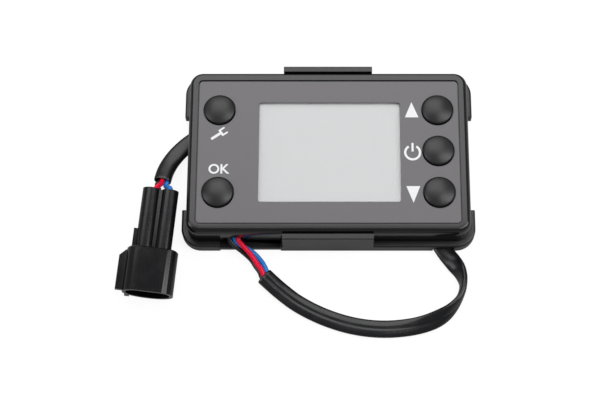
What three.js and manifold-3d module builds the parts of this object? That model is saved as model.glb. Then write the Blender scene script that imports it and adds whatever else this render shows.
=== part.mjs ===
// Wired LCD control panel of a diesel air heater: a snap-in holder, a two-shell housing with five keys,
// its circuit board and display, and the lead with a three-pin sealed connector.
// Millimetres. X runs right, Y up the panel, Z out of its face. z = 0 is the back of the holder.
import * as THREE from 'three';
import { mergeVertices } from 'three/addons/utils/BufferGeometryUtils.js';
import Module from 'manifold-3d';

const wasm = await Module();
wasm.setup();

// ---- driving dimensions ----------------------------------------------------------------------------

const clearance = 0.3;
const tapeGap = 0.1;

const housing = {
  width: 104, height: 63.4, depth: 10.1, cornerRadius: 5, wall: 1.8,
  edgeWidth: 1.7, edgeDepth: 3, bezel: 1.85, backPlate: 1.5, backFlange: 0.8, backChamfer: 0.7, lip: 1.2
};
const overlay = { thickness: 0.3, recess: 0.35, cornerRadius: 1.45, groove: 0.3 };
const face = { thickness: 1.8 };
const windowOpening = { width: 52.3, height: 39, cornerRadius: 0.8, centreX: 0.4, centreY: -0.25 };
const lens = { thickness: 0.9, border: 1.85, ledge: 0.45 };
const lcd = { glass: 1.05, glassBorder: 3, trayBase: 1.6, trayWall: 1, trayLip: 0.5 };
const board = { thickness: 1.6, edgeGap: 2, outletWidth: 8.4, outletDepth: 4.4 };
const key = {
  radius: 5.65, shellGap: 0.3, overlayGap: 0.4, edgeInset: 7.65, rowPitch: 16.2, proud: 1.95, crown: 0.95,
  edgeRadius: 0.5, wall: 1.05, flange: 1.05, flangeThickness: 0.85, stemRadius: 1.6, roof: 2.2, sides: 18
};
const tactSwitch = {
  size: 6, height: 3.1, boreDepth: 2.3, plungerRadius: 1.7, plungerProud: 0.85, plungerLength: 2.1
};
const screw = {
  headRadius: 2.1, headHeight: 1.2, shankRadius: 1, engagement: 2.4, insetX: 5.8, insetY: 5.5, bossWall: 1.3,
  boss: 3, slotLength: 2.2, slotWidth: 0.5, slotDepth: 0.6, web: 1
};
const holder = {
  skirt: 3.1, floor: 1.1, wall: 1.6, gap: 0.7, rim: 0.5, cornerRadius: 7.3, edgeRadius: 0.8, recessDepth: 3.9,
  recessLow: -19.8, recessHigh: 17.6, tabWidth: 33.2, tabCentre: -0.2, tabThickness: 2.1, tabDrop: 0.5,
  fixingX: 36, fixingRadius: 2.1, fixingPad: 5, fixingSink: 2, recessRound: 0.9, tabRound: 0.35
};
const clip = { rise: 3.1, height: 1.4, reach: 0.5, length: 28 };
const wireGap = { from: -40, to: -17.6, top: 2.4, setback: 0.4, depth: 1.3, shelf: 1.2, step: 0.7 };
const sleeveWay = { inFrom: 37.2, inTo: 47.8, outFrom: 3.2, outTo: 16.4 };
const outlet = { centreX: -34.6, width: 9, rise: 3.2, depth: 3.9 };
const wire = { radius: 0.925, sides: 8, steps: 18, plugSteps: 11, crimped: 1.3 };
const sleeve = { width: 6.4, steps: 56 };
const plug = {
  length: 38.9, hoodLength: 16, hoodWidth: 18.5, hoodRise: 6.2, hoodDrop: 6.7, hoodWall: 1.3, shoulder: 5.2,
  backWall: 1.3, backStep: 0.5, barrelRadius: 3.15, barrelPitch: 6.8, barrelRise: 2.2, barrelDrop: 2.8,
  boreRadius: 2.5, rimChamfer: 0.35, bridge: 1.6, position: [-61.85, -14.1, 8.85], yaw: -5.5, pitch: 3, roll: 8
};
const fin = { reach: 2.6, low: -0.6, high: 1.5, start: 0.6, slope: 2.3, end: 0.5, root: 0.8 };
const rail = { reach: 1.3, root: 1, low: 0.9, high: 3, length: 7.4 };
const rib = { from: -8.4, to: -6.6, drop: 7.75, root: 3.2, start: 2.5, end: 0.1 };
const seal = { outer: 2.2, inner: 1.25, length: 4.6, inset: 3.8, rib: 0.3, ribs: 2, crown: 1.1 };
const pin = {
  crimpRadius: 1.3, crimpLength: 4.6, bodySize: 2.6, bodyLength: 7, bladeWidth: 2.2, blade: 0.8,
  reach: 8.8, taper: 1
};

// Route of the flat sleeve from the housing's wires to the connector's wires, chosen by hand:
// x, y, z of the centre line, twist in degrees and thickness.
const sleeveRoute = [
  [-23.5, -44.6, 2.25, 0, 4.2],
  [-20.6, -47.3, 2.0, 0, 3.7],
  [-17.6, -49.9, 1.7, 0, 3.1],
  [-12.2, -54.1, 1.5, 0, 2.7],
  [-5.8, -57.8, 1.5, 0, 2.6],
  [0.9, -60.7, 1.5, 0, 2.6],
  [7.4, -62.7, 1.5, 0, 2.6],
  [13.9, -63.9, 1.5, 0, 2.6],
  [20.4, -64.3, 1.5, 0, 2.6],
  [27.0, -63.9, 1.5, 3, 2.6],
  [33.3, -62.8, 1.7, 10, 2.6],
  [39.2, -60.8, 2.45, 30, 2.6],
  [44.2, -57.6, 3.25, 62, 2.6],
  [47.8, -53.0, 3.5, 88, 2.6],
  [49.2, -47.9, 3.5, 96, 2.6],
  [48.2, -43.2, 3.15, 124, 2.6],
  [45.9, -39.2, 2.05, 161, 2.6],
  [43.2, -35.3, 1.4, 180, 2.6],
  [39.8, -29.4, 1.4, 180, 2.6],
  [36.0, -22.4, 1.4, 180, 2.6],
  [30.6, -12.8, 1.4, 180, 2.6],
  [22.6, -2.6, 1.4, 180, 2.6],
  [12.4, 6.0, 1.4, 180, 2.6],
  [1.0, 12.3, 1.4, 180, 2.6],
  [-11.0, 16.0, 1.4, 180, 2.6],
  [-23.0, 17.2, 1.4, 180, 2.6],
  [-34.0, 16.2, 1.4, 180, 2.6],
  [-44.0, 13.1, 1.4, 180, 2.6],
  [-50.6, 9.4, 1.45, 180, 2.6],
  [-55.6, 5.0, 1.7, 180, 2.7],
  [-59.0, 0.4, 2.4, 180, 3.1],
  [-61.0, -4.2, 3.6, 180, 3.8],
  [-61.9, -8.4, 4.9, 180, 4.2]
];

// ---- derived places --------------------------------------------------------------------------------

const half = { x: housing.width / 2, y: housing.height / 2 };
const floorTop = holder.skirt + holder.floor;
const backZ = floorTop + clearance;
const faceZ = backZ + housing.depth;
const backInsideZ = backZ + housing.backPlate;
const flangeTopZ = backZ + housing.backFlange;
const shellBottomZ = flangeTopZ + clearance;
const pocketZ = faceZ - overlay.recess - overlay.thickness - tapeGap;
const faceInsideZ = pocketZ - face.thickness;
const glassTopZ = faceInsideZ - tapeGap;
const glassBottomZ = glassTopZ - lcd.glass;
const trayTopZ = glassBottomZ - clearance + tapeGap;
const boardTopZ = trayTopZ - lcd.trayBase - tapeGap * 2;
const boardBottomZ = boardTopZ - board.thickness;
const overlayHalf = {
  x: half.x - housing.edgeWidth - housing.bezel - overlay.groove,
  y: half.y - housing.edgeWidth - housing.bezel - overlay.groove
};
const keyX = overlayHalf.x - key.edgeInset;
const keyPlaces = {
  wrench: [-keyX, key.rowPitch],
  ok: [-keyX, -key.rowPitch],
  up: [keyX, key.rowPitch],
  power: [keyX, 0],
  down: [keyX, -key.rowPitch]
};
const screwX = half.x - screw.insetX;
const screwY = half.y - screw.insetY;
const screwPlaces = [[-screwX, -screwY], [screwX, -screwY], [screwX, screwY], [-screwX, screwY]];
const bossRadius = screw.shankRadius + clearance + screw.bossWall;
const holderHalf = { x: half.x + holder.gap + holder.wall, y: half.y + clearance + holder.tabThickness };
const tabTopZ = faceZ - holder.tabDrop;
const clipZ = shellBottomZ + clip.rise;
const barrels = [
  [-plug.barrelPitch / 2, plug.barrelRise],
  [plug.barrelPitch / 2, plug.barrelRise],
  [0, -plug.barrelDrop]
];

// ---- shape helpers ---------------------------------------------------------------------------------

const materials = {
  glossBlack: { color: 0x151517, roughness: 0.22, metalness: 0 },
  satinBlack: { color: 0x1c1c1f, roughness: 0.5, metalness: 0 },
  overlayGrey: { color: 0x77757a, roughness: 0.42, metalness: 0 },
  rubberBlack: { color: 0x161617, roughness: 0.55, metalness: 0 },
  clear: { color: 0xe8ecec, roughness: 0.05, metalness: 0, transparent: true, opacity: 0.35 },
  displayGrey: { color: 0xc8cbc8, roughness: 0.2, metalness: 0 },
  white: { color: 0xe6e6e0, roughness: 0.45, metalness: 0 },
  boardGreen: { color: 0x1d5a36, roughness: 0.4, metalness: 0 },
  chipBlack: { color: 0x1e1e20, roughness: 0.6, metalness: 0 },
  steel: { color: 0xb4b6b8, roughness: 0.3, metalness: 1 },
  brass: { color: 0xc9a24c, roughness: 0.3, metalness: 1 },
  wireRed: { color: 0xd81033, roughness: 0.4, metalness: 0 },
  wireBlue: { color: 0x2c74c4, roughness: 0.4, metalness: 0 },
  wireBlack: { color: 0x232426, roughness: 0.45, metalness: 0 },
  sealGreen: { color: 0x3f7d5a, roughness: 0.5, metalness: 0 }
};

function roundedRect(halfX, halfY, radius, centreX = 0, centreY = 0) {
  const shape = new THREE.Shape();
  const x = halfX - radius;
  const y = halfY - radius;
  shape.absarc(centreX + x, centreY - y, radius, -Math.PI / 2, 0, false);
  shape.absarc(centreX + x, centreY + y, radius, 0, Math.PI / 2, false);
  shape.absarc(centreX - x, centreY + y, radius, Math.PI / 2, Math.PI, false);
  shape.absarc(centreX - x, centreY - y, radius, Math.PI, Math.PI * 1.5, false);
  shape.closePath();
  return shape;
}

function prism(shape, bottom, top, curveSegments = 3) {
  const geometry = new THREE.ExtrudeGeometry(shape, { depth: top - bottom, bevelEnabled: false, curveSegments });
  return geometry.translate(0, 0, bottom);
}

function block(x0, x1, y0, y1, z0, z1) {
  const geometry = new THREE.BoxGeometry(x1 - x0, y1 - y0, z1 - z0);
  return geometry.translate((x0 + x1) / 2, (y0 + y1) / 2, (z0 + z1) / 2);
}

function disc(radius, bottom, top, x = 0, y = 0, sides = 20) {
  const geometry = new THREE.CylinderGeometry(radius, radius, top - bottom, sides).rotateX(Math.PI / 2);
  return geometry.translate(x, y, (bottom + top) / 2);
}

function cone(bottomRadius, topRadius, bottom, top, x, y, sides = 20) {
  const geometry = new THREE.CylinderGeometry(topRadius, bottomRadius, top - bottom, sides).rotateX(Math.PI / 2);
  return geometry.translate(x, y, (bottom + top) / 2);
}

function revolve(profile, sides = 24) {
  const points = profile.map(([radius, z]) => new THREE.Vector2(radius, z));
  return new THREE.LatheGeometry(points, sides).rotateX(Math.PI / 2);
}

// Joins rings with as many points each into one closed skin, with a fan over the first and last ring.
function loft(rings) {
  const count = rings[0].length;
  const positions = rings.flat().flatMap((point) => [point.x, point.y, point.z]);
  const index = [];
  for (let ring = 0; ring < rings.length - 1; ring += 1) {
    for (let side = 0; side < count; side += 1) {
      const a = ring * count + side;
      const b = ring * count + (side + 1) % count;
      index.push(a, b, b + count, a, b + count, a + count);
    }
  }
  const last = (rings.length - 1) * count;
  for (let side = 1; side < count - 1; side += 1) {
    index.push(0, side + 1, side);
    index.push(last, last + side, last + side + 1);
  }
  const geometry = new THREE.BufferGeometry();
  geometry.setAttribute('position', new THREE.Float32BufferAttribute(positions, 3));
  geometry.setIndex(index);
  return geometry;
}

function outlineRing(halfX, halfY, radius, z, arcPoints = 5) {
  const ring = [];
  const corners = [[1, -1, -90], [1, 1, 0], [-1, 1, 90], [-1, -1, 180]];
  for (const [signX, signY, start] of corners) {
    for (let step = 0; step <= arcPoints; step += 1) {
      const angle = THREE.MathUtils.degToRad(start + 90 * step / arcPoints);
      const x = signX * (halfX - radius) + radius * Math.cos(angle);
      const y = signY * (halfY - radius) + radius * Math.sin(angle);
      ring.push(new THREE.Vector3(x, y, z));
    }
  }
  return ring;
}

function solid(geometry) {
  const bare = geometry.clone();
  bare.deleteAttribute('normal');
  bare.deleteAttribute('uv');
  const merged = mergeVertices(bare, 1e-5);
  const vertProperties = new Float32Array(merged.attributes.position.array);
  const triVerts = new Uint32Array(merged.index.array);
  return new wasm.Manifold(new wasm.Mesh({ numProp: 3, vertProperties, triVerts }));
}

function join(first, ...others) {
  return others.reduce((total, other) => total.add(solid(other)), solid(first));
}

function cut(body, ...tools) {
  return tools.reduce((rest, tool) => rest.subtract(solid(tool)), body);
}

function surface(body) {
  const mesh = body.getMesh();
  const geometry = new THREE.BufferGeometry();
  geometry.setAttribute('position', new THREE.Float32BufferAttribute(mesh.vertProperties, 3));
  geometry.setIndex(Array.from(mesh.triVerts));
  const faceted = geometry.toNonIndexed();
  faceted.computeVertexNormals();
  return faceted;
}

function piece(name, shape, look) {
  const geometry = shape.isBufferGeometry ? shape : surface(shape);
  const mesh = new THREE.Mesh(geometry, new THREE.MeshStandardMaterial(materials[look]));
  mesh.name = name;
  return mesh;
}

// ---- holder ----------------------------------------------------------------------------------------

function makeHolder() {
  const { x, y } = holderHalf;
  const rimZ = floorTop + holder.rim;
  const innerX = x - holder.wall;
  const innerY = y - holder.wall;
  const innerRadius = holder.cornerRadius - holder.wall;
  const edge = holder.edgeRadius;
  const outer = loft([
    outlineRing(x, y, holder.cornerRadius, 0),
    outlineRing(x, y, holder.cornerRadius, rimZ - edge),
    outlineRing(x - edge * 0.3, y - edge * 0.3, holder.cornerRadius - edge * 0.3, rimZ - edge * 0.3),
    outlineRing(x - edge, y - edge, holder.cornerRadius - edge, rimZ)
  ]);
  const seat = prism(roundedRect(innerX, innerY, innerRadius), floorTop, rimZ + 1);
  const underside = prism(roundedRect(innerX, innerY, innerRadius), -1, holder.skirt);
  let body = cut(solid(outer), seat, underside);

  // waist: on the left and right sides the holder stays behind the housing
  const waistX = x - holder.recessDepth;
  const wallTop = holder.skirt + clearance;
  const waistWalls = [-1, 1].map((side) => {
    const low = side < 0 ? -waistX : waistX - holder.wall;
    return block(low, low + holder.wall, holder.recessLow - 1, holder.recessHigh + 1, 0, wallTop);
  });
  const waistEnds = [holder.recessLow, holder.recessHigh].flatMap((edgeY, end) => [-1, 1].map((side) => {
    const outside = side * (x - holder.wall);
    const inside = side * (waistX - holder.wall);
    const away = end === 0 ? -holder.wall : holder.wall;
    return block(Math.min(outside, inside), Math.max(outside, inside), Math.min(edgeY, edgeY + away),
      Math.max(edgeY, edgeY + away), 0, wallTop);
  }));
  body = [...waistWalls, ...waistEnds].reduce((total, wall) => total.add(solid(wall)), body);
  for (const side of [-1, 1]) {
    const centre = side * (waistX + x + 1) / 2;
    const reach = (x + 1 - waistX) / 2;
    const middleY = (holder.recessLow + holder.recessHigh) / 2;
    const halfLength = (holder.recessHigh - holder.recessLow) / 2;
    const recess = roundedRect(reach, halfLength, holder.recessRound, centre, middleY);
    body = cut(body, prism(recess, -1, rimZ + 1));
  }

  // the two spring tabs that hold the housing, each with a catch
  for (const side of [-1, 1]) {
    const inner = y - holder.tabThickness;
    const left = holder.tabCentre - holder.tabWidth / 2;
    const tab = new THREE.Shape();
    const round = holder.tabRound;
    tab.moveTo(inner, 0);
    tab.lineTo(y, 0);
    tab.lineTo(y, tabTopZ - round);
    tab.absarc(y - round, tabTopZ - round, round, 0, Math.PI / 2, false);
    tab.lineTo(inner, tabTopZ);
    tab.closePath();
    const blade = new THREE.ExtrudeGeometry(tab, {
      depth: holder.tabWidth, bevelEnabled: false, curveSegments: 3
    });
    blade.rotateX(Math.PI / 2).rotateZ(Math.PI / 2).translate(left, 0, 0);
    if (side < 0) {
      blade.rotateZ(Math.PI).translate(2 * holder.tabCentre, 0, 0);
    }
    const catchShape = new THREE.Shape();
    catchShape.moveTo(inner + clip.reach, clipZ - clip.height / 2);
    catchShape.lineTo(inner + clip.reach, clipZ + clip.height / 2);
    catchShape.lineTo(inner - clip.reach, clipZ + clip.height / 4);
    catchShape.lineTo(inner - clip.reach, clipZ - clip.height / 4);
    catchShape.closePath();
    const ridge = new THREE.ExtrudeGeometry(catchShape, { depth: clip.length, bevelEnabled: false });
    ridge.rotateX(Math.PI / 2).rotateZ(Math.PI / 2).translate(holder.tabCentre - clip.length / 2, 0, 0);
    if (side < 0) {
      ridge.rotateZ(Math.PI).translate(2 * holder.tabCentre, 0, 0);
    }
    body = body.add(solid(blade)).add(solid(ridge));
  }

  // gap in the lower rim where the wires come out, and the two ways under the skirt for the sleeve
  const gapRim = block(wireGap.from, wireGap.to, -y - 1, -half.y + wireGap.depth, wireGap.top, rimZ + 1);
  const gapFace = block(wireGap.from, wireGap.to, -y - 1, -y + wireGap.setback, -1, rimZ + 1);
  const sleeveIn = block(sleeveWay.inFrom, sleeveWay.inTo, -y - 1, -innerY + 1, -1, holder.skirt);
  const sleeveOut = block(-x - 1, -waistX + holder.wall + 1, sleeveWay.outFrom, sleeveWay.outTo, -1, holder.skirt);
  body = cut(body, gapRim, gapFace, sleeveIn, sleeveOut);

  // a low shelf closes the wires' gap towards the table
  const shelfBack = -half.y + wireGap.depth + wireGap.step;
  const shelfLeft = wireGap.from - wireGap.step;
  const shelfRight = wireGap.to + wireGap.step;
  const shelf = block(shelfLeft, shelfRight, -innerY - wireGap.step, shelfBack, wireGap.shelf, wireGap.top);
  const riser = block(shelfLeft, shelfRight, shelfBack - wireGap.step, shelfBack, wireGap.shelf, wallTop);
  body = body.add(solid(shelf)).add(solid(riser));

  // two countersunk fixing holes on pads that reach the back plane
  for (const side of [-1, 1]) {
    const padX = side * holder.fixingX;
    const over = 0.4;
    const sinkTop = holder.fixingRadius + holder.fixingSink + over;
    body = body.add(solid(disc(holder.fixingPad, 0, floorTop - 0.2, padX)));
    body = cut(body, disc(holder.fixingRadius, -1, floorTop + 1, padX));
    body = cut(body, cone(holder.fixingRadius, sinkTop, floorTop - holder.fixingSink, floorTop + over, padX, 0));
  }
  return piece('holder', body, 'satinBlack');
}

// ---- housing shells --------------------------------------------------------------------------------

function makeFrontShell() {
  const rings = [outlineRing(half.x, half.y, housing.cornerRadius, shellBottomZ)];
  const edgeSteps = 4;
  for (let step = 0; step <= edgeSteps; step += 1) {
    const angle = Math.PI / 2 * step / edgeSteps;
    const inset = housing.edgeWidth * (1 - Math.cos(angle));
    const z = faceZ - housing.edgeDepth * (1 - Math.sin(angle));
    rings.push(outlineRing(half.x - inset, half.y - inset, housing.cornerRadius - inset, z));
  }
  let body = solid(loft(rings));
  const insideX = half.x - housing.wall;
  const insideY = half.y - housing.wall;
  const insideRadius = housing.cornerRadius - housing.wall;
  const pocket = roundedRect(overlayHalf.x + overlay.groove, overlayHalf.y + overlay.groove,
    overlay.cornerRadius + overlay.groove);
  body = cut(body,
    prism(roundedRect(insideX, insideY, insideRadius), shellBottomZ - 1, faceInsideZ),
    prism(pocket, pocketZ, faceZ + 1));

  // stepped opening for the display lens, and the five key holes
  const { centreX, centreY } = windowOpening;
  const openX = windowOpening.width / 2 + lens.ledge;
  const openY = windowOpening.height / 2 + lens.ledge;
  const lensX = windowOpening.width / 2 + lens.border + clearance;
  const lensY = windowOpening.height / 2 + lens.border + clearance;
  const ledgeZ = pocketZ - lens.thickness - tapeGap;
  const opening = roundedRect(openX, openY, windowOpening.cornerRadius, centreX, centreY);
  const lensRoom = roundedRect(lensX, lensY, windowOpening.cornerRadius, centreX, centreY);
  body = cut(body, prism(opening, faceInsideZ - 1, pocketZ + 1), prism(lensRoom, ledgeZ, pocketZ + 1));
  for (const [x, y] of Object.values(keyPlaces)) {
    body = cut(body, disc(key.radius + key.shellGap, faceInsideZ - 1, pocketZ + 1, x, y, key.sides));
  }

  // screw bosses, with webs to the side walls
  for (const [x, y] of screwPlaces) {
    const boss = disc(bossRadius, boardTopZ + tapeGap, faceInsideZ + 0.2, x, y);
    const wallX = Math.sign(x) * (insideX + 0.2);
    const web = block(Math.min(x, wallX), Math.max(x, wallX), y - screw.web / 2, y + screw.web / 2,
      boardTopZ + tapeGap, faceInsideZ + 0.2);
    body = body.add(solid(boss)).add(solid(web));
    body = cut(body, disc(screw.shankRadius + clearance, boardTopZ - 1, faceInsideZ - 0.35, x, y, 12));
  }

  // grooves for the holder's catches, and the arch that lets the wires out
  for (const side of [-1, 1]) {
    const reach = clip.reach + clearance;
    const low = side < 0 ? -half.y - 1 : half.y - (reach - clearance);
    const left = holder.tabCentre - clip.length / 2 - clearance;
    const depthTop = side < 0 ? -half.y + (reach - clearance) : half.y + 1;
    body = cut(body, block(left, left + clip.length + 2 * clearance, low, depthTop,
      clipZ - clip.height / 2 - clearance, clipZ + clip.height / 2 + clearance));
  }
  body = cut(body, wireArch());
  return piece('front_shell', body, 'glossBlack');
}

function wireArch() {
  const arch = new THREE.Shape();
  const radius = outlet.width / 2;
  const spring = shellBottomZ + outlet.rise - radius * 0.55;
  arch.moveTo(outlet.centreX - radius, backZ - 2);
  arch.lineTo(outlet.centreX + radius, backZ - 2);
  arch.lineTo(outlet.centreX + radius, spring);
  arch.absellipse(outlet.centreX, spring, radius, radius * 0.55, 0, Math.PI, false);
  arch.closePath();
  const geometry = new THREE.ExtrudeGeometry(arch, {
    depth: outlet.depth + 1, bevelEnabled: false, curveSegments: 8
  });
  return geometry.rotateX(Math.PI / 2).translate(0, -half.y + outlet.depth, 0);
}

function makeRearShell() {
  const chamfer = housing.backChamfer;
  const radius = housing.cornerRadius;
  const flange = loft([
    outlineRing(half.x - chamfer, half.y - chamfer, radius - chamfer, backZ),
    outlineRing(half.x - 0.15, half.y - 0.15, radius - 0.15, backZ + chamfer),
    outlineRing(half.x - 0.15, half.y - 0.15, radius - 0.15, flangeTopZ)
  ]);
  const plateX = half.x - housing.wall - clearance;
  const plateY = half.y - housing.wall - clearance;
  const plateRadius = radius - housing.wall - clearance;
  const lipTop = boardBottomZ - clearance;
  const plate = prism(roundedRect(plateX, plateY, plateRadius), backZ + clearance, lipTop);
  const trayRadius = plateRadius - 0.9;
  const trayShape = roundedRect(plateX - housing.lip, plateY - housing.lip, trayRadius);
  const tray = prism(trayShape, backInsideZ, lipTop + 1);
  let body = cut(join(flange, plate), tray);
  for (const [x, y] of screwPlaces) {
    body = body.add(solid(disc(screw.boss, backZ + clearance, boardBottomZ - tapeGap, x, y)));
  }
  for (const [x, y] of screwPlaces) {
    body = cut(body,
      disc(screw.headRadius + clearance, backZ - 1, backZ + screw.headHeight + 2 * tapeGap, x, y),
      disc(screw.shankRadius + clearance, backZ - 1, boardBottomZ + 1, x, y, 12));
  }
  body = cut(body, wireArch());
  return piece('rear_shell', body, 'satinBlack');
}

function makeScrews() {
  const headBottom = backZ + tapeGap;
  const headTop = headBottom + screw.headHeight;
  const tip = Math.min(boardTopZ + screw.engagement, faceInsideZ - 0.6);
  return screwPlaces.map(([x, y], index) => {
    const radius = screw.shankRadius;
    const profile = [
      [0, headBottom], [screw.headRadius - 0.4, headBottom], [screw.headRadius, headBottom + 0.4],
      [screw.headRadius, headTop], [radius, headTop], [radius, tip - 0.6], [0.3, tip], [0, tip]
    ];
    const reach = screw.slotLength / 2;
    const wide = screw.slotWidth / 2;
    const slotX = block(-reach, reach, -wide, wide, headBottom - 1, headBottom + screw.slotDepth);
    const slotY = block(-wide, wide, -reach, reach, headBottom - 1, headBottom + screw.slotDepth);
    const body = cut(solid(revolve(profile, 10)), slotX, slotY);
    const mesh = piece(`housing_screw_${index + 1}`, body, 'steel');
    mesh.position.set(x, y, 0);
    return mesh;
  });
}

// ---- face: overlay, lens and keys ------------------------------------------------------------------

function makeOverlay() {
  const bottom = pocketZ + tapeGap;
  const top = bottom + overlay.thickness;
  const { centreX, centreY, width, height, cornerRadius } = windowOpening;
  const sheet = solid(prism(roundedRect(overlayHalf.x, overlayHalf.y, overlay.cornerRadius), bottom, top));
  const openShape = roundedRect(width / 2, height / 2, cornerRadius, centreX, centreY);
  const opening = prism(openShape, bottom - 1, top + 1, 2);
  const holeRadius = key.radius + key.overlayGap;
  const holes = Object.values(keyPlaces).map(([x, y]) => disc(holeRadius, bottom - 1, top + 1, x, y));
  return piece('front_overlay', cut(sheet, opening, ...holes), 'overlayGrey');
}

function makeLens() {
  const x = windowOpening.width / 2 + lens.border;
  const y = windowOpening.height / 2 + lens.border;
  const outline = roundedRect(x, y, windowOpening.cornerRadius, windowOpening.centreX, windowOpening.centreY);
  const top = pocketZ - tapeGap / 2;
  return piece('display_window', prism(outline, top - lens.thickness, top, 3), 'clear');
}

function makeKeycap(name) {
  const overlayTopZ = pocketZ + tapeGap + overlay.thickness;
  const top = overlayTopZ + key.proud;
  const shoulder = top - key.crown;
  const flangeTop = faceInsideZ - clearance;
  const bottom = flangeTop - key.flangeThickness;
  const inner = key.radius - key.wall;
  const plungerTop = boardTopZ + tactSwitch.height + tapeGap + tactSwitch.plungerProud;
  const profile = [
    [0, plungerTop + clearance], [key.stemRadius, plungerTop + clearance], [key.stemRadius, top - key.roof],
    [inner, top - key.roof], [inner, bottom], [key.radius + key.flange, bottom],
    [key.radius + key.flange, flangeTop],
    [key.radius, flangeTop], [key.radius, shoulder - key.edgeRadius]
  ];
  const crownRadius = key.radius - key.edgeRadius;
  const crownSteps = 3;
  profile.push([key.radius - key.edgeRadius * 0.3, shoulder - key.edgeRadius * 0.25]);
  for (let step = 0; step <= crownSteps; step += 1) {
    const radius = crownRadius * (1 - step / crownSteps);
    const share = radius / crownRadius;
    profile.push([radius, shoulder + key.crown * (1 - share * share)]);
  }
  const cap = piece(`key_${name}`, revolve(profile, key.sides), 'rubberBlack');
  cap.position.set(...keyPlaces[name], 0);
  return cap;
}

// ---- board -----------------------------------------------------------------------------------------

function makeBoard() {
  const x = half.x - housing.wall - board.edgeGap;
  const y = half.y - housing.wall - board.edgeGap + 0.3;
  let body = solid(prism(roundedRect(x, y, 1.5), boardBottomZ, boardTopZ, 3));
  for (const [holeX, holeY] of screwPlaces) {
    body = cut(body, disc(screw.shankRadius + clearance, boardBottomZ - 1, boardTopZ + 1, holeX, holeY, 12));
  }
  const { centreX } = outlet;
  body = cut(body, block(centreX - board.outletWidth / 2, centreX + board.outletWidth / 2, -y - 1, -y + board.outletDepth,
    boardBottomZ - 1, boardTopZ + 1));
  return piece('circuit_board', body, 'boardGreen');
}

function makeSwitch(name) {
  const bottom = boardTopZ + tapeGap;
  const top = bottom + tactSwitch.height;
  const size = tactSwitch.size / 2;
  let body = solid(prism(roundedRect(size, size, 0.4), bottom, top, 2));
  body = cut(body, disc(tactSwitch.plungerRadius + clearance, top - tactSwitch.boreDepth, top + 1, 0, 0, 14));
  const mesh = piece(`switch_${name}`, body, 'chipBlack');
  mesh.position.set(...keyPlaces[name], 0);
  return mesh;
}

function makePlunger(name) {
  const top = boardTopZ + tapeGap + tactSwitch.height + tactSwitch.plungerProud;
  const bottom = top - tactSwitch.plungerLength - 0.3;
  const radius = tactSwitch.plungerRadius;
  const profile = [[0, bottom], [radius, bottom], [radius, top - 0.2], [radius - 0.2, top], [0, top]];
  const mesh = piece(`plunger_${name}`, revolve(profile, 12), 'white');
  mesh.position.set(...keyPlaces[name], 0);
  return mesh;
}

function makeDisplay() {
  const { centreX, centreY } = windowOpening;
  const x = windowOpening.width / 2 + lcd.glassBorder;
  const y = windowOpening.height / 2 + lcd.glassBorder + 0.5;
  const glass = prism(roundedRect(x, y, 0.4, centreX, centreY), glassBottomZ, glassTopZ, 2);
  const trayX = x + clearance + lcd.trayWall;
  const trayY = y + clearance + lcd.trayWall;
  const baseShape = roundedRect(trayX, trayY, 0.8, centreX, centreY);
  const base = prism(baseShape, boardTopZ + tapeGap, glassBottomZ + lcd.trayLip, 2);
  const nestShape = roundedRect(x + clearance, y + clearance, 0.5, centreX, centreY);
  const nest = prism(nestShape, trayTopZ, glassTopZ + 1, 2);
  return [
    piece('lcd_panel', glass, 'displayGrey'),
    piece('lcd_backlight', cut(solid(base), nest), 'white')
  ];
}

function makeChips() {
  const top = boardBottomZ - tapeGap / 2;
  const height = boardBottomZ - backInsideZ - clearance;
  const chip = (name, x, y, sizeX, sizeY) => piece(name,
    block(x - sizeX / 2, x + sizeX / 2, y - sizeY / 2, y + sizeY / 2, top - height, top), 'chipBlack');
  return [
    chip('mcu_chip', 6, 4, 10, 10),
    chip('regulator_chip', -26, -8, 6.5, 6),
    chip('memory_chip', -10, -13, 5, 4)
  ];
}

// ---- lead ------------------------------------------------------------------------------------------

function tube(points, steps) {
  const curve = new THREE.CatmullRomCurve3(points, false, 'centripetal');
  const section = new THREE.Shape();
  section.absarc(0, 0, wire.radius, 0, Math.PI * 2, false);
  return new THREE.ExtrudeGeometry(section, {
    steps, curveSegments: wire.sides / 2, extrudePath: curve, bevelEnabled: false
  });
}

// Section of the sleeve across its route: rounded flat, with the shallow groove between two cores.
function sleeveSection(width, thickness) {
  const across = width / 2;
  const up = thickness / 2;
  return [
    [across, 0], [across * 0.88, up * 0.72], [across * 0.6, up], [across * 0.2, up], [-across * 0.02, up * 0.8],
    [-across * 0.24, up], [-across * 0.62, up], [-across * 0.88, up * 0.72], [-across, 0],
    [-across * 0.76, -up * 0.95], [across * 0.76, -up * 0.95]
  ];
}

const sleevePoints = sleeveRoute.map(([x, y, z]) => new THREE.Vector3(x, y, z));
const sleeveCurve = new THREE.CatmullRomCurve3(sleevePoints, false, 'centripetal');

function sleeveFrame(share) {
  const point = sleeveCurve.getPoint(share);
  const ahead = sleeveCurve.getTangent(share);
  const side = new THREE.Vector3(-ahead.y, ahead.x, 0).normalize();
  const up = new THREE.Vector3().crossVectors(ahead, side).normalize();
  const at = share * (sleeveRoute.length - 1);
  const before = Math.min(Math.floor(at), sleeveRoute.length - 2);
  const mix = at - before;
  const [here, next] = [sleeveRoute[before], sleeveRoute[before + 1]];
  const blend = (column) => THREE.MathUtils.lerp(here[column], next[column], mix);
  const twist = THREE.MathUtils.degToRad(blend(3));
  const across = side.clone().applyAxisAngle(ahead, twist);
  const through = up.clone().applyAxisAngle(ahead, twist);
  return { point, ahead, side, up, across, through, thickness: blend(4) };
}

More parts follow.
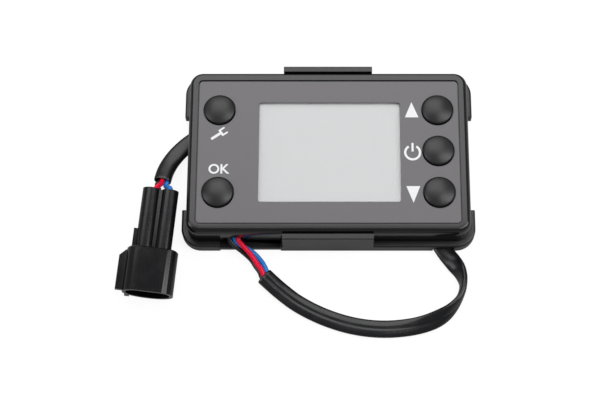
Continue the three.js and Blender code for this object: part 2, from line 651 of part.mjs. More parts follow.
function makeSleeve() {
  const rings = [];
  for (let step = 0; step <= sleeve.steps; step += 1) {
    const frame = sleeveFrame(step / sleeve.steps);
    const ring = sleeveSection(sleeve.width, frame.thickness).map(([across, up]) => frame.point.clone()
      .addScaledVector(frame.across, across).addScaledVector(frame.through, up));
    rings.push(ring);
  }
  return piece('cable_sleeve', loft(rings), 'wireBlack');
}

// A point just off one mouth of the sleeve: across and up in the mouth's own plane.
function mouthPoint(share, off, across, up) {
  const frame = sleeveFrame(share);
  const outward = share < 0.5 ? -off : off;
  return frame.point.clone().addScaledVector(frame.ahead, outward)
    .addScaledVector(frame.side, across).addScaledVector(frame.up, up);
}

function plugPoint(x, along, z) {
  const turn = new THREE.Euler(...[plug.pitch, plug.roll, plug.yaw].map(THREE.MathUtils.degToRad), 'ZXY');
  return new THREE.Vector3(x, -along, z).applyEuler(turn).add(new THREE.Vector3(...plug.position));
}

function makeHousingWires() {
  const onBoard = boardTopZ + wire.radius + 0.15;
  const wireStop = 0.6;
  const list = (rows) => rows.map((row) => new THREE.Vector3(...row));
  const red = list([
    [-31.9, -21.3, onBoard], [-31.9, -25.2, onBoard - 0.15], [-32.1, -27.4, 8.7], [-32.5, -29.7, 7.2],
    [-32.6, -31.7, 6.3], [-31, -33.5, 5.9], [-28.8, -35.6, 5.1], [-27.1, -37.8, 4.35], [-25.8, -40.2, 3.75]
  ]);
  const blue = list([
    [-34.1, -21.3, onBoard], [-34.1, -25.2, onBoard - 0.25], [-34.3, -27.4, 8.3], [-34.6, -29.7, 6.4],
    [-34.6, -31.7, 5], [-32, -33.7, 4.15], [-28.9, -35.5, 2.95], [-26.1, -37.2, 2], [-24.1, -39.4, 1.5]
  ]);
  const black = list([
    [-36.3, -23.1, onBoard], [-36.3, -25.2, onBoard - 0.25], [-36.6, -27.4, 8.3], [-36.9, -29.7, 6.5],
    [-36.9, -31.7, 5.2], [-35.6, -33.5, 4.05], [-33.4, -35.2, 2.8], [-30.9, -36.9, 1.75], [-28.6, -38.4, 1.25],
    [-26.9, -40.3, 1.08]
  ]);
  const enter = (row, across, up) => {
    row.push(mouthPoint(0, 2.4, across, up), mouthPoint(0, wireStop, across, up));
  };
  enter(red, 0.1, 0.95);
  enter(blue, 2.2, -0.85);
  enter(black, 0.15, -1.15);
  return [
    piece('wire_red', tube(red, wire.steps), 'wireRed'),
    piece('wire_blue', tube(blue, wire.steps), 'wireBlue'),
    piece('wire_black', tube(black, wire.steps), 'wireBlack')
  ];
}

// Each wire's place in the sleeve's mouth, then x and z off the barrel's rim and in its bore.
const plugRoutes = {
  red: { barrel: 0, mouth: [0.2, 0.8], outside: [-1.3, 0.2], bore: [-2.45, 1.9] },
  blue: { barrel: 1, mouth: [1.7, -0.6], outside: [3.2, -0.6], bore: [3.45, 1.15] },
  black: { barrel: 2, mouth: [-1.6, -0.65], outside: [-1, -3.4], bore: [-0.3, -2.95] }
};

function makeConnectorWires() {
  const sealEnd = seal.inset + seal.length;
  return Object.entries(plugRoutes).map(([colour, { barrel, mouth, outside, bore }]) => {
    const [x, z] = barrels[barrel];
    const route = [
      mouthPoint(1, clearance, ...mouth), mouthPoint(1, 1.6, ...mouth),
      plugPoint(outside[0], -1.9, outside[1]), plugPoint(bore[0], 0.3, bore[1]),
      plugPoint(x, seal.inset, z), plugPoint(x, sealEnd, z), plugPoint(x, sealEnd + wire.crimped, z)
    ];
    const look = `wire${colour[0].toUpperCase()}${colour.slice(1)}`;
    return piece(`plug_wire_${colour}`, tube(route, wire.plugSteps), look);
  });
}

// ---- connector -------------------------------------------------------------------------------------

// In the connector's own frame the pins run along Y: y = 0 at the wire end, -length at the mouth.
function along(shape, from, to, curveSegments = 5) {
  const geometry = new THREE.ExtrudeGeometry(shape, { depth: to - from, bevelEnabled: false, curveSegments });
  return geometry.rotateX(Math.PI / 2).translate(0, -from, 0);
}

function circle(radius, x, z) {
  const shape = new THREE.Shape();
  shape.absarc(x, z, radius, 0, Math.PI * 2, false);
  return shape;
}

function hoodOutline(inset) {
  const x = plug.hoodWidth / 2 - inset;
  const rise = plug.hoodRise - inset;
  const radius = plug.shoulder - inset;
  const shape = new THREE.Shape();
  shape.absarc(x - radius, rise - radius, radius, 0, Math.PI / 2, false);
  shape.absarc(-x + radius, rise - radius, radius, Math.PI / 2, Math.PI, false);
  shape.absellipse(0, 0, x, plug.hoodDrop - inset, Math.PI, Math.PI * 2, false);
  shape.closePath();
  return shape;
}

function makeConnectorBody() {
  const hoodStart = plug.length - plug.hoodLength;
  const floorAt = hoodStart + plug.backWall;
  let body = solid(along(hoodOutline(0), hoodStart, plug.length, 5));
  const backStep = along(hoodOutline(plug.backStep), hoodStart - plug.backStep, hoodStart + tapeGap, 5);
  body = body.add(solid(backStep));
  for (const [x, z] of barrels) {
    body = body.add(solid(along(circle(plug.barrelRadius, x, z), plug.rimChamfer, hoodStart + 0.5, 8)));
    const rimRadius = plug.barrelRadius - plug.rimChamfer;
    const rim = new THREE.CylinderGeometry(rimRadius, plug.barrelRadius, plug.rimChamfer, 16);
    body = body.add(solid(rim.rotateY(Math.PI / 16).translate(x, -plug.rimChamfer / 2, z)));
  }
  const web = new THREE.Shape(barrels.map(([x, z]) => new THREE.Vector2(x, z)).reverse());
  const reach = plug.barrelPitch / 2;
  const bridgeLow = plug.barrelRise - 0.2;
  const bridge = block(-reach, reach, -hoodStart - 0.5, -0.2, bridgeLow, bridgeLow + plug.bridge);
  body = body.add(solid(along(web, 0.2, hoodStart + 0.5))).add(solid(bridge));

  // guard fin and short rail on the left, and the keying rib below, on which the hood leans
  const side = plug.hoodWidth / 2;
  const finStart = hoodStart + fin.start;
  const finShape = new THREE.Shape();
  finShape.moveTo(-side + fin.root, -finStart);
  finShape.lineTo(-side - clearance, -finStart);
  finShape.lineTo(-side - fin.reach, -finStart - fin.slope);
  finShape.lineTo(-side - fin.reach, -plug.length + fin.end);
  finShape.lineTo(-side + fin.root, -plug.length + fin.end);
  finShape.closePath();
  const railEdge = reach + plug.barrelRadius;
  const railLeft = -railEdge - rail.reach;
  const railBar = block(railLeft, -railEdge + rail.root, -hoodStart - 0.2, -hoodStart + rail.length, rail.low, rail.high);
  const ribBar = block(rib.from, rib.to, -plug.length + rib.end, -hoodStart - rib.start, -rib.drop, -rib.root);
  body = body.add(solid(prism(finShape, fin.low, fin.high))).add(solid(railBar)).add(solid(ribBar));

  body = cut(body, along(hoodOutline(plug.hoodWall), floorAt, plug.length + 1, 5));
  for (const [x, z] of barrels) {
    const slot = block(x - pin.bladeWidth / 2 - clearance, x + pin.bladeWidth / 2 + clearance, -floorAt - 1,
      -hoodStart + 2, z - pin.blade / 2 - clearance, z + pin.blade / 2 + clearance);
    body = cut(body, along(circle(plug.boreRadius, x, z), -1, hoodStart - 0.8, 7), slot);
  }
  return piece('connector_body', body, 'satinBlack');
}

function makeSeal(index) {
  const [x, z] = barrels[index];
  const groove = seal.outer - seal.rib;
  const profile = [[seal.inner, 0], [seal.outer, 0]];
  for (let rib = 0; rib < seal.ribs; rib += 1) {
    const start = seal.length * rib / seal.ribs;
    profile.push([seal.outer, start + seal.crown], [groove, start + seal.crown + 0.2]);
    profile.push([groove, start + seal.length / seal.ribs]);
  }
  profile.push([seal.inner, seal.length], [seal.inner, 0]);
  const geometry = revolve(profile, 12).rotateX(Math.PI / 2).translate(x, -seal.inset, z);
  return piece(['seal_left', 'seal_right', 'seal_lower'][index], geometry, 'sealGreen');
}

function makePin(index) {
  const [x, z] = barrels[index];
  const start = seal.inset + seal.length + wire.crimped + clearance;
  const hoodFloor = plug.length - plug.hoodLength + plug.backWall;
  const crimpEnd = start + pin.crimpLength;
  const bodyEnd = crimpEnd + pin.bodyLength;
  const size = pin.bodySize / 2;
  const blade = new THREE.Shape();
  blade.moveTo(-pin.bladeWidth / 2, -crimpEnd);
  blade.lineTo(-pin.bladeWidth / 2, -hoodFloor - pin.reach + pin.taper);
  blade.lineTo(-pin.bladeWidth / 4, -hoodFloor - pin.reach);
  blade.lineTo(pin.bladeWidth / 4, -hoodFloor - pin.reach);
  blade.lineTo(pin.bladeWidth / 2, -hoodFloor - pin.reach + pin.taper);
  blade.lineTo(pin.bladeWidth / 2, -crimpEnd);
  blade.closePath();
  const crimp = along(circle(pin.crimpRadius, 0, 0), start, crimpEnd + 0.2, 8);
  const box = block(-size, size, -bodyEnd, -crimpEnd, -size * 0.8, size * 0.8);
  const body = join(crimp, box, prism(blade, -pin.blade / 2, pin.blade / 2));
  const mesh = piece(['pin_left', 'pin_right', 'pin_lower'][index], body, 'brass');
  mesh.position.set(x, 0, z);
  return mesh;
}

// ---- assembly --------------------------------------------------------------------------------------

const group = new THREE.Group();
group.add(makeHolder(), makeRearShell(), makeFrontShell(), makeOverlay(), makeLens());
group.add(makeBoard(), ...makeDisplay(), ...makeChips(), ...makeScrews());
for (const name of Object.keys(keyPlaces)) {
  group.add(makeKeycap(name), makePlunger(name), makeSwitch(name));
}
group.add(...makeHousingWires(), makeSleeve(), ...makeConnectorWires());

const connector = new THREE.Group();
connector.position.set(...plug.position);
connector.rotation.set(...[plug.pitch, plug.roll, plug.yaw].map(THREE.MathUtils.degToRad), 'ZXY');
connector.add(makeConnectorBody(), ...[0, 1, 2].map(makeSeal), ...[0, 1, 2].map(makePin));
group.add(connector);

export default group;
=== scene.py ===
import math

import bmesh
import bpy
from mathutils import Matrix, Vector


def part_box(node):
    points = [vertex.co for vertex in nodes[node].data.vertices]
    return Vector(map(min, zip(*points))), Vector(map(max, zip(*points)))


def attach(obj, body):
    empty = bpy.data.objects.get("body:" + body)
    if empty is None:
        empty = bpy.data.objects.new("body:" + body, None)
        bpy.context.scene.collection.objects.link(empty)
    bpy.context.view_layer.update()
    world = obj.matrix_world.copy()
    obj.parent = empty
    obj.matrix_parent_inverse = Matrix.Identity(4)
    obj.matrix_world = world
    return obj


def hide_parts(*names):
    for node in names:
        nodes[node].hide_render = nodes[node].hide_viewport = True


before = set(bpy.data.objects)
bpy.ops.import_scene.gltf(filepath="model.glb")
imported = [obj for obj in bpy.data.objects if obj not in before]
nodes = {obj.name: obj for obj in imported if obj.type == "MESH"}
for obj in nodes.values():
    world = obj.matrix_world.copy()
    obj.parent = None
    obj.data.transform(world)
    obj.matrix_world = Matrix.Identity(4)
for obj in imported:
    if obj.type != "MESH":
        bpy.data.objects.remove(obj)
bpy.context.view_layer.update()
up = Vector((0, 0, 1))
print("frame loaded")

# metres throughout; the panel lies on its back, face up, and its lower edge looks at the camera

cameraSetup = {
    "place": (0, -0.19353, 0.52073),
    "elevation": 71,
    "lens": 88.2,
    "sensor": 36,
    "shiftX": -0.0475,
}


def makeCamera():
    data = bpy.data.cameras.new("camera")
    data.lens = cameraSetup["lens"]
    data.sensor_width = cameraSetup["sensor"]
    data.shift_x = cameraSetup["shiftX"]
    data.clip_start = 0.01
    camera = bpy.data.objects.new("camera", data)
    camera.location = cameraSetup["place"]
    camera.rotation_euler = (math.radians(90 - cameraSetup["elevation"]), 0, 0)
    bpy.context.scene.collection.objects.link(camera)
    bpy.context.scene.camera = camera


makeCamera()
print("camera placed")


def newGroup(name, inputs, outputs):
    group = bpy.data.node_groups.new(name, "ShaderNodeTree")
    for label, kind, value in inputs:
        socket = group.interface.new_socket(label, in_out="INPUT", socket_type=kind)
        if value is not None:
            socket.default_value = value
    for label, kind in outputs:
        group.interface.new_socket(label, in_out="OUTPUT", socket_type=kind)
    entry = group.nodes.new("NodeGroupInput")
    leave = group.nodes.new("NodeGroupOutput")
    return group, entry, leave


def feed(tree, socket, value):
    # a number is set on the socket, anything else is linked to it
    if isinstance(value, (int, float)):
        socket.default_value = value
    else:
        tree.links.new(value, socket)


def addNoise(tree, vector, scale, detail, roughness=0.5):
    noise = tree.nodes.new("ShaderNodeTexNoise")
    noise.inputs["Detail"].default_value = detail
    noise.inputs["Roughness"].default_value = roughness
    tree.links.new(vector, noise.inputs["Vector"])
    feed(tree, noise.inputs["Scale"], scale)
    return noise.outputs["Fac"]


def addMath(tree, operation, first, second):
    node = tree.nodes.new("ShaderNodeMath")
    node.operation = operation
    feed(tree, node.inputs[0], first)
    feed(tree, node.inputs[1], second)
    return node.outputs[0]


def makeGrain():
    # moulded or sanded skin: fine noise as height, and a little of it in the roughness
    group, entry, leave = newGroup(
        "mouldGrain",
        [("Vector", "NodeSocketVector", None), ("Scale", "NodeSocketFloat", 4000.0),
         ("Roughness", "NodeSocketFloat", 0.4), ("Spread", "NodeSocketFloat", 0.1)],
        [("Roughness", "NodeSocketFloat"), ("Height", "NodeSocketFloat")],
    )
    fine = addNoise(group, entry.outputs["Vector"], entry.outputs["Scale"], 3)
    centred = addMath(group, "SUBTRACT", fine, 0.5)
    spread = addMath(group, "MULTIPLY", centred, entry.outputs["Spread"])
    total = addMath(group, "ADD", spread, entry.outputs["Roughness"])
    group.links.new(total, leave.inputs["Roughness"])
    group.links.new(fine, leave.inputs["Height"])
    return group


def makeHandling():
    # faint cloudy patches left by hands and packing, as a mask and a change of colour
    group, entry, leave = newGroup(
        "handling",
        [("Vector", "NodeSocketVector", None), ("Scale", "NodeSocketFloat", 60.0),
         ("Color", "NodeSocketColor", (0.5, 0.5, 0.5, 1)), ("Amount", "NodeSocketFloat", 0.1)],
        [("Color", "NodeSocketColor"), ("Mask", "NodeSocketFloat")],
    )
    clouds = addNoise(group, entry.outputs["Vector"], entry.outputs["Scale"], 4, 0.6)
    ramp = group.nodes.new("ShaderNodeMapRange")
    ramp.inputs["From Min"].default_value = 0.35
    ramp.inputs["From Max"].default_value = 0.7
    group.links.new(clouds, ramp.inputs["Value"])
    factor = addMath(group, "MULTIPLY", ramp.outputs["Result"], entry.outputs["Amount"])
    blend = group.nodes.new("ShaderNodeMix")
    blend.data_type = "RGBA"
    blend.blend_type = "SCREEN"
    group.links.new(factor, blend.inputs[0])
    group.links.new(entry.outputs["Color"], blend.inputs[6])
    group.links.new(entry.outputs["Color"], blend.inputs[7])
    group.links.new(blend.outputs[2], leave.inputs["Color"])
    group.links.new(ramp.outputs["Result"], leave.inputs["Mask"])
    return group


grainGroup = makeGrain()
handlingGroup = makeHandling()


def startMaterial(name):
    material = bpy.data.materials.new(name)
    material.use_nodes = True
    tree = material.node_tree
    return material, tree, tree.nodes["Principled BSDF"]


def placeGroup(tree, group, values):
    # a shared effect, laid out on the piece's own coordinates
    node = tree.nodes.new("ShaderNodeGroup")
    node.node_tree = group
    coords = tree.nodes.get("Texture Coordinate") or tree.nodes.new("ShaderNodeTexCoord")
    tree.links.new(coords.outputs["Object"], node.inputs["Vector"])
    for label, value in values.items():
        node.inputs[label].default_value = value
    return node


def addGrain(tree, shader, scale, roughness, spread):
    grain = placeGroup(tree, grainGroup, {"Scale": scale, "Roughness": roughness, "Spread": spread})
    tree.links.new(grain.outputs["Roughness"], shader.inputs["Roughness"])
    return grain


def addHandling(tree, shader, scale, colour, amount):
    handling = placeGroup(tree, handlingGroup,
                          {"Scale": scale, "Color": (*colour, 1), "Amount": amount})
    tree.links.new(handling.outputs["Color"], shader.inputs["Base Color"])
    return handling


def mixShaders(tree, factor, first, second):
    mix = tree.nodes.new("ShaderNodeMixShader")
    for socket, value in zip(mix.inputs, (factor, first.outputs[0], second.outputs[0])):
        tree.links.new(value, socket)
    tree.links.new(mix.outputs[0], tree.nodes["Material Output"].inputs["Surface"])


def moulded(name, look):
    # plastic, rubber or film: colour with handling, roughness and bump from the grain
    look = {**plainLook, **look}
    material, tree, shader = startMaterial(name)
    handling = addHandling(tree, shader, look["patchScale"], look["colour"], look["patches"])
    grain = addGrain(tree, shader, look["grainScale"], look["roughness"], look["spread"])
    rough = addMath(tree, "MULTIPLY", handling.outputs["Mask"], look["dulling"])
    rough = addMath(tree, "ADD", rough, grain.outputs["Roughness"])
    tree.links.new(rough, shader.inputs["Roughness"])
    bump = tree.nodes.new("ShaderNodeBump")
    bump.inputs["Strength"].default_value = look["bump"]
    bump.inputs["Distance"].default_value = look["bumpDepth"]
    tree.links.new(grain.outputs["Height"], bump.inputs["Height"])
    tree.links.new(bump.outputs["Normal"], shader.inputs["Normal"])
    shader.inputs["IOR"].default_value = 1.5
    shader.inputs["Specular IOR Level"].default_value = look["specular"]
    return material


# what a look leaves out
plainLook = {"patches": 0.25, "patchScale": 55, "spread": 0.12, "dulling": 0.05,
             "bumpDepth": 0.00004, "specular": 0.5}
looks = {
    "glossBlack": {"colour": (0.005, 0.005, 0.006), "roughness": 0.13, "spread": 0.05,
                   "grainScale": 1800, "bump": 0.03, "patches": 0.2},
    "satinBlack": {"colour": (0.0085, 0.0085, 0.0098), "roughness": 0.3,
                   "grainScale": 4200, "bump": 0.22, "patches": 0.35},
    "filmGrey": {"colour": (0.128, 0.122, 0.13), "roughness": 0.4,
                 "grainScale": 5200, "bump": 0.16, "patches": 0.05, "patchScale": 30},
    "rubberBlack": {"colour": (0.008, 0.008, 0.009), "roughness": 0.36,
                    "grainScale": 3600, "bump": 0.22, "patches": 0.4, "patchScale": 160},
    "printWhite": {"colour": (0.82, 0.82, 0.83), "roughness": 0.45,
                   "grainScale": 5200, "bump": 0.1, "patches": 0.02},
    "wireRed": {"colour": (0.9, 0.003, 0.042), "roughness": 0.3, "specular": 0.3,
                "grainScale": 2600, "bump": 0.04, "patches": 0.02, "patchScale": 200},
    "wireBlue": {"colour": (0.022, 0.25, 0.8), "roughness": 0.3, "specular": 0.3,
                 "grainScale": 2600, "bump": 0.04, "patches": 0.02, "patchScale": 200},
    "wireBlack": {"colour": (0.012, 0.012, 0.013), "roughness": 0.32,
                  "grainScale": 2600, "bump": 0.12, "patches": 0.3, "patchScale": 200},
    "sleeveBlack": {"colour": (0.006, 0.0062, 0.0075), "roughness": 0.22, "specular": 0.42,
                    "spread": 0.04, "grainScale": 2400, "bump": 0.04, "patches": 0.4,
                    "patchScale": 120, "dulling": 0.1},
    "nylonBlack": {"colour": (0.005, 0.005, 0.006), "roughness": 0.13, "specular": 0.36,
                   "grainScale": 3400, "bump": 0.06, "patches": 0.3, "patchScale": 90,
                   "dulling": 0.1},
    "sealGreen": {"colour": (0.05, 0.2, 0.11), "roughness": 0.45,
                  "grainScale": 3000, "bump": 0.15},
    "chipBlack": {"colour": (0.016, 0.016, 0.017), "roughness": 0.55,
                  "grainScale": 5200, "bump": 0.35},
    "whitePlastic": {"colour": (0.78, 0.78, 0.75), "roughness": 0.42,
                     "grainScale": 3600, "bump": 0.15, "patches": 0.05},
}
finishes = {name: moulded(name, look) for name, look in looks.items()}


def makeMetal(name, colour, roughness, scale):
    material, tree, shader = startMaterial(name)
    addGrain(tree, shader, scale, roughness, 0.25)
    addHandling(tree, shader, 400, colour, 0.15)
    shader.inputs["Metallic"].default_value = 1
    return material


def makeBoardGreen():
    # solder mask over tracks: a brick pattern of fine lines stands for the routing
    material, tree, shader = startMaterial("boardGreen")
    addGrain(tree, shader, 3000, 0.3, 0.1)
    tracks = tree.nodes.new("ShaderNodeTexBrick")
    tracks.inputs["Scale"].default_value = 260
    tracks.inputs["Mortar Size"].default_value = 0.05
    tracks.inputs["Color1"].default_value = (0.012, 0.1, 0.035, 1)
    tracks.inputs["Color2"].default_value = (0.014, 0.115, 0.04, 1)
    tracks.inputs["Mortar"].default_value = (0.03, 0.19, 0.075, 1)
    tree.links.new(tree.nodes["Texture Coordinate"].outputs["Object"], tracks.inputs["Vector"])
    tree.links.new(tracks.outputs["Color"], shader.inputs["Base Color"])
    return material


def makeDisplayGrey():
    # unlit reflective display: pale grey with a very fine cell texture, and a soft drift of tone
    # that is painted sheen standing in for the window's faint reflection of the lamps
    material, tree, shader = startMaterial("displayGrey")
    addGrain(tree, shader, 6500, 0.34, 0.02)
    # painted sheen: broad noise lightens the grey in soft patches, in place of a reflection on the
    # window
    paintedSheen = addNoise(tree, tree.nodes["Texture Coordinate"].outputs["Object"], 14, 1)
    tone = tree.nodes.new("ShaderNodeMix")
    tone.data_type = "RGBA"
    tone.inputs[6].default_value = (0.4, 0.4, 0.404, 1)
    tone.inputs[7].default_value = (0.44, 0.44, 0.445, 1)
    tree.links.new(paintedSheen, tone.inputs[0])
    tree.links.new(tone.outputs[2], shader.inputs["Base Color"])
    return material


def makeWindowClear():
    # clear window: smooth glass for the eye, open to the lamps so that the display is lit
    material, tree, shader = startMaterial("windowClear")
    addGrain(tree, shader, 40, 0.006, 0.004)
    shader.inputs["Base Color"].default_value = (0.97, 0.98, 0.98, 1)
    shader.inputs["Transmission Weight"].default_value = 1
    shader.inputs["IOR"].default_value = 1.47
    rays = tree.nodes.new("ShaderNodeLightPath").outputs
    either = addMath(tree, "MAXIMUM", rays["Is Shadow Ray"], rays["Is Diffuse Ray"])
    mixShaders(tree, either, shader, tree.nodes.new("ShaderNodeBsdfTransparent"))
    return material


finishes["screwSteel"] = makeMetal("screwSteel", (0.55, 0.56, 0.57), 0.3, 2500)
finishes["pinBrass"] = makeMetal("pinBrass", (0.72, 0.6, 0.36), 0.24, 2200)
finishes["boardGreen"] = makeBoardGreen()
finishes["displayGrey"] = makeDisplayGrey()
finishes["windowClear"] = makeWindowClear()
print("materials made")


past = 0.001  # how far a cutting piece reaches beyond what it cuts


def addObject(bm, name):
    mesh = bpy.data.meshes.new(name)
    bm.to_mesh(mesh)
    bm.free()
    piece = bpy.data.objects.new(name, mesh)
    bpy.context.scene.collection.objects.link(piece)
    return piece


def faceOutwards(bm):
    bmesh.ops.recalc_face_normals(bm, faces=bm.faces)


def closedObject(bm, name):
    faceOutwards(bm)
    return addObject(bm, name)


def vertsAmong(items):
    return [item for item in items if isinstance(item, bmesh.types.BMVert)]


def evaluatedMesh(piece):
    shaped = piece.evaluated_get(bpy.context.evaluated_depsgraph_get())
    return bpy.data.meshes.new_from_object(shaped)


def settle(piece):
    # the piece with its modifiers becomes its own mesh
    shaped = evaluatedMesh(piece)
    piece.modifiers.clear()
    before = piece.data
    piece.data = shaped
    bpy.data.meshes.remove(before)


def combine(piece, operation, tools):
    for tool in tools:
        step = piece.modifiers.new(operation, "BOOLEAN")
        step.operation = operation
        step.solver = "EXACT"
        step.object = tool
        settle(piece)
        bpy.data.objects.remove(tool)


def soften(piece, width, segments=2, limit=40):
    edge = piece.modifiers.new("softEdge", "BEVEL")
    edge.width = width
    edge.segments = segments
    edge.limit_method = "ANGLE"
    edge.angle_limit = math.radians(limit)
    edge.use_clamp_overlap = True
    edge.miter_outer = "MITER_ARC"
    settle(piece)


def finishPiece(piece, finish, replaced=(), body="panel", sharp=38):
    mesh = piece.data
    mesh.shade_smooth()
    mesh.set_sharp_from_angle(angle=math.radians(sharp))
    weighted = piece.modifiers.new("evenNormals", "WEIGHTED_NORMAL")
    weighted.keep_sharp = True
    settle(piece)
    piece.data.materials.clear()
    piece.data.materials.append(finishes[finish])
    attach(piece, body)
    if replaced:
        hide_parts(*replaced)
    return piece


def plate(bm, halfX, halfY, radius, z, centre=(0, 0), steps=10):
    # a flat face with round corners
    known = set(bm.faces)
    corners = bmesh.ops.create_grid(bm, x_segments=1, y_segments=1, size=1)["verts"]
    bmesh.ops.scale(bm, vec=(halfX, halfY, 1), verts=corners)
    bmesh.ops.translate(bm, vec=(*centre, z), verts=corners)
    bmesh.ops.bevel(bm, geom=corners, offset=radius, offset_type="OFFSET", segments=steps,
                    profile=0.5, affect="VERTICES", material=-1)
    return next(face for face in bm.faces if face not in known)


def lift(bm, face, shift):
    # extrudes a face; where it was part of a skin, the face it started from goes
    inSkin = all(len(edge.link_faces) > 1 for edge in face.edges)
    made = bmesh.ops.extrude_face_region(bm, geom=[face])["geom"]
    bmesh.ops.translate(bm, vec=shift, verts=vertsAmong(made))
    if inSkin:
        bmesh.ops.delete(bm, geom=[face], context="FACES_ONLY")
    return next(item for item in made if isinstance(item, bmesh.types.BMFace))


def shrink(bm, face, inset, rise=0):
    bmesh.ops.inset_region(bm, faces=[face], thickness=inset, depth=rise, use_even_offset=True,
                           use_boundary=True)


def roundOver(bm, face, inset, rise, steps):
    # quarter ellipse from the face's rim inwards and along its normal
    reached = (0, 0)
    for step in range(1, steps + 1):
        angle = math.pi / 2 * step / steps
        wanted = (inset * (1 - math.cos(angle)), rise * math.sin(angle))
        shrink(bm, face, wanted[0] - reached[0], wanted[1] - reached[1])
        reached = wanted


def slab(halfX, halfY, radius, low, high, centre=(0, 0), steps=6):
    bm = bmesh.new()
    lift(bm, plate(bm, halfX, halfY, radius, low, centre, steps), (0, 0, high - low))
    return closedObject(bm, "slab")


def prism(points, shift):
    bm = bmesh.new()
    lift(bm, bm.faces.new([bm.verts.new(point) for point in points]), shift)
    return closedObject(bm, "prism")


def boxPiece(low, high):
    bm = bmesh.new()
    made = bmesh.ops.create_cube(bm, size=1)["verts"]
    bmesh.ops.scale(bm, vec=Vector(high) - Vector(low), verts=made)
    bmesh.ops.translate(bm, vec=(Vector(high) + Vector(low)) / 2, verts=made)
    return addObject(bm, "box")


def rodPiece(radius, low, high, place=(0, 0), topRadius=None, sides=48):
    bm = bmesh.new()
    made = bmesh.ops.create_cone(bm, cap_ends=True, segments=sides, radius1=radius,
                                 radius2=topRadius or radius, depth=high - low)
    bmesh.ops.translate(bm, vec=(*place, (low + high) / 2), verts=made["verts"])
    return addObject(bm, "rod")


def turned(bm, profile, steps, centre=(0, 0, 0)):
    # profile points are (radius, z), spun once round the upright axis through the centre
    verts = [bm.verts.new(Vector((radius, 0, z)) + Vector(centre)) for radius, z in profile]
    edges = [bm.edges.new(pair) for pair in zip(verts, verts[1:])]
    bmesh.ops.spin(bm, geom=verts + edges, cent=centre, axis=up, angle=math.tau, steps=steps,
                   use_merge=True)
    bmesh.ops.remove_doubles(bm, verts=bm.verts, dist=1e-7)
    faceOutwards(bm)


sleeveLook = {
    "width": 0.0064, "length": 0.241, "exit": (-0.0346, -0.0317, 0.0062), "steps": 150, "sides": 44,
    "wall": 0.00045, "lip": 0.0002, "mouthDepth": 0.004,
    "squareness": 0.62, "groove": {"place": -0.04, "width": 0.11, "depth": 0.18},  # in half widths
    # x, y, z of the centre line, twist in degrees and thickness
    "route": [
        (-0.0235, -0.0446, 0.00225, 0, 0.0042),
        (-0.0206, -0.0473, 0.0020, 0, 0.0037),
        (-0.0176, -0.0499, 0.0017, 0, 0.0031),
        (-0.0122, -0.0541, 0.0015, 0, 0.0027),
        (-0.0058, -0.0578, 0.0015, 0, 0.0026),
        (0.0009, -0.0607, 0.0015, 0, 0.0026),
        (0.0074, -0.0627, 0.0015, 0, 0.0026),
        (0.0139, -0.0639, 0.0015, 0, 0.0026),
        (0.0204, -0.0643, 0.0015, 0, 0.0026),
        (0.0270, -0.0639, 0.0015, 3, 0.0026),
        (0.0333, -0.0628, 0.0017, 10, 0.0026),
        (0.0392, -0.0608, 0.00245, 30, 0.0026),
        (0.0442, -0.0576, 0.00325, 62, 0.0026),
        (0.0478, -0.0530, 0.0035, 88, 0.0026),
        (0.0492, -0.0479, 0.0035, 96, 0.0026),
        (0.0482, -0.0432, 0.00315, 124, 0.0026),
        (0.0459, -0.0392, 0.00205, 161, 0.0026),
        (0.0432, -0.0353, 0.0014, 180, 0.0026),
        (0.0398, -0.0294, 0.0014, 180, 0.0026),
        (0.0360, -0.0224, 0.0014, 180, 0.0026),
        (0.0306, -0.0128, 0.0014, 180, 0.0026),
        (0.0226, -0.0026, 0.0014, 180, 0.0026),
        (0.0124, 0.0060, 0.0014, 180, 0.0026),
        (0.0010, 0.0123, 0.0014, 180, 0.0026),
        (-0.0110, 0.0160, 0.0014, 180, 0.0026),
        (-0.0230, 0.0172, 0.0014, 180, 0.0026),
        (-0.0340, 0.0162, 0.0014, 180, 0.0026),
        (-0.0440, 0.0131, 0.0014, 180, 0.0026),
        (-0.0506, 0.0094, 0.00145, 180, 0.0026),
        (-0.0556, 0.0050, 0.0017, 180, 0.0027),
        (-0.0590, 0.0004, 0.0024, 180, 0.0031),
        (-0.0610, -0.0042, 0.0036, 180, 0.0038),
        (-0.0619, -0.0084, 0.0049, 180, 0.0042),
    ],
}


def spanPoint(four, share):
    # centripetal spline between the middle two of four points
    gaps = [math.sqrt((second - first).length) for first, second in zip(four, four[1:])]
    knots = [0, gaps[0], gaps[0] + gaps[1], sum(gaps)]
    at = knots[1] + gaps[1] * share

    def between(first, second, low, high):
        return first.lerp(second, (at - knots[low]) / (knots[high] - knots[low]))

    rows = [between(four[i], four[i + 1], i, i + 1) for i in range(3)]
    rows = [between(rows[i], rows[i + 1], i, i + 2) for i in range(2)]
    return between(*rows, 1, 2)


def routePoint(points, share):
    spans = len(points) - 1
    place = min(share * spans, spans - 1e-9)
    index = int(place)
    before = points[index - 1] if index else points[0] * 2 - points[1]
    after = points[index + 2] if index + 2 <= spans else points[-1] * 2 - points[-2]
    return spanPoint([before, points[index], points[index + 1], after], place - index)


sleevePoints = [Vector(row[:3]) for row in sleeveLook["route"]]


def sleeveFrame(share):
    # the place on the route with its across, through and along directions and its thickness
    point = routePoint(sleevePoints, share)
    nudge = 1e-4
    ends = (max(share - nudge, 0), min(share + nudge, 1))
    before, after = (routePoint(sleevePoints, end) for end in ends)
    ahead = (after - before).normalized()
    side = Vector((-ahead.y, ahead.x, 0)).normalized()
    above = ahead.cross(side).normalized()
    rows = sleeveLook["route"]
    place = share * (len(rows) - 1)
    index = min(int(place), len(rows) - 2)
    mix = place - index
    twist = math.radians(rows[index][3] * (1 - mix) + rows[index + 1][3] * mix)
    thickness = rows[index][4] * (1 - mix) + rows[index + 1][4] * mix
    turn = Matrix.Rotation(twist, 3, ahead)
    return {"point": point, "ahead": ahead, "side": side, "above": above,
            "across": turn @ side, "through": turn @ above, "thickness": thickness}


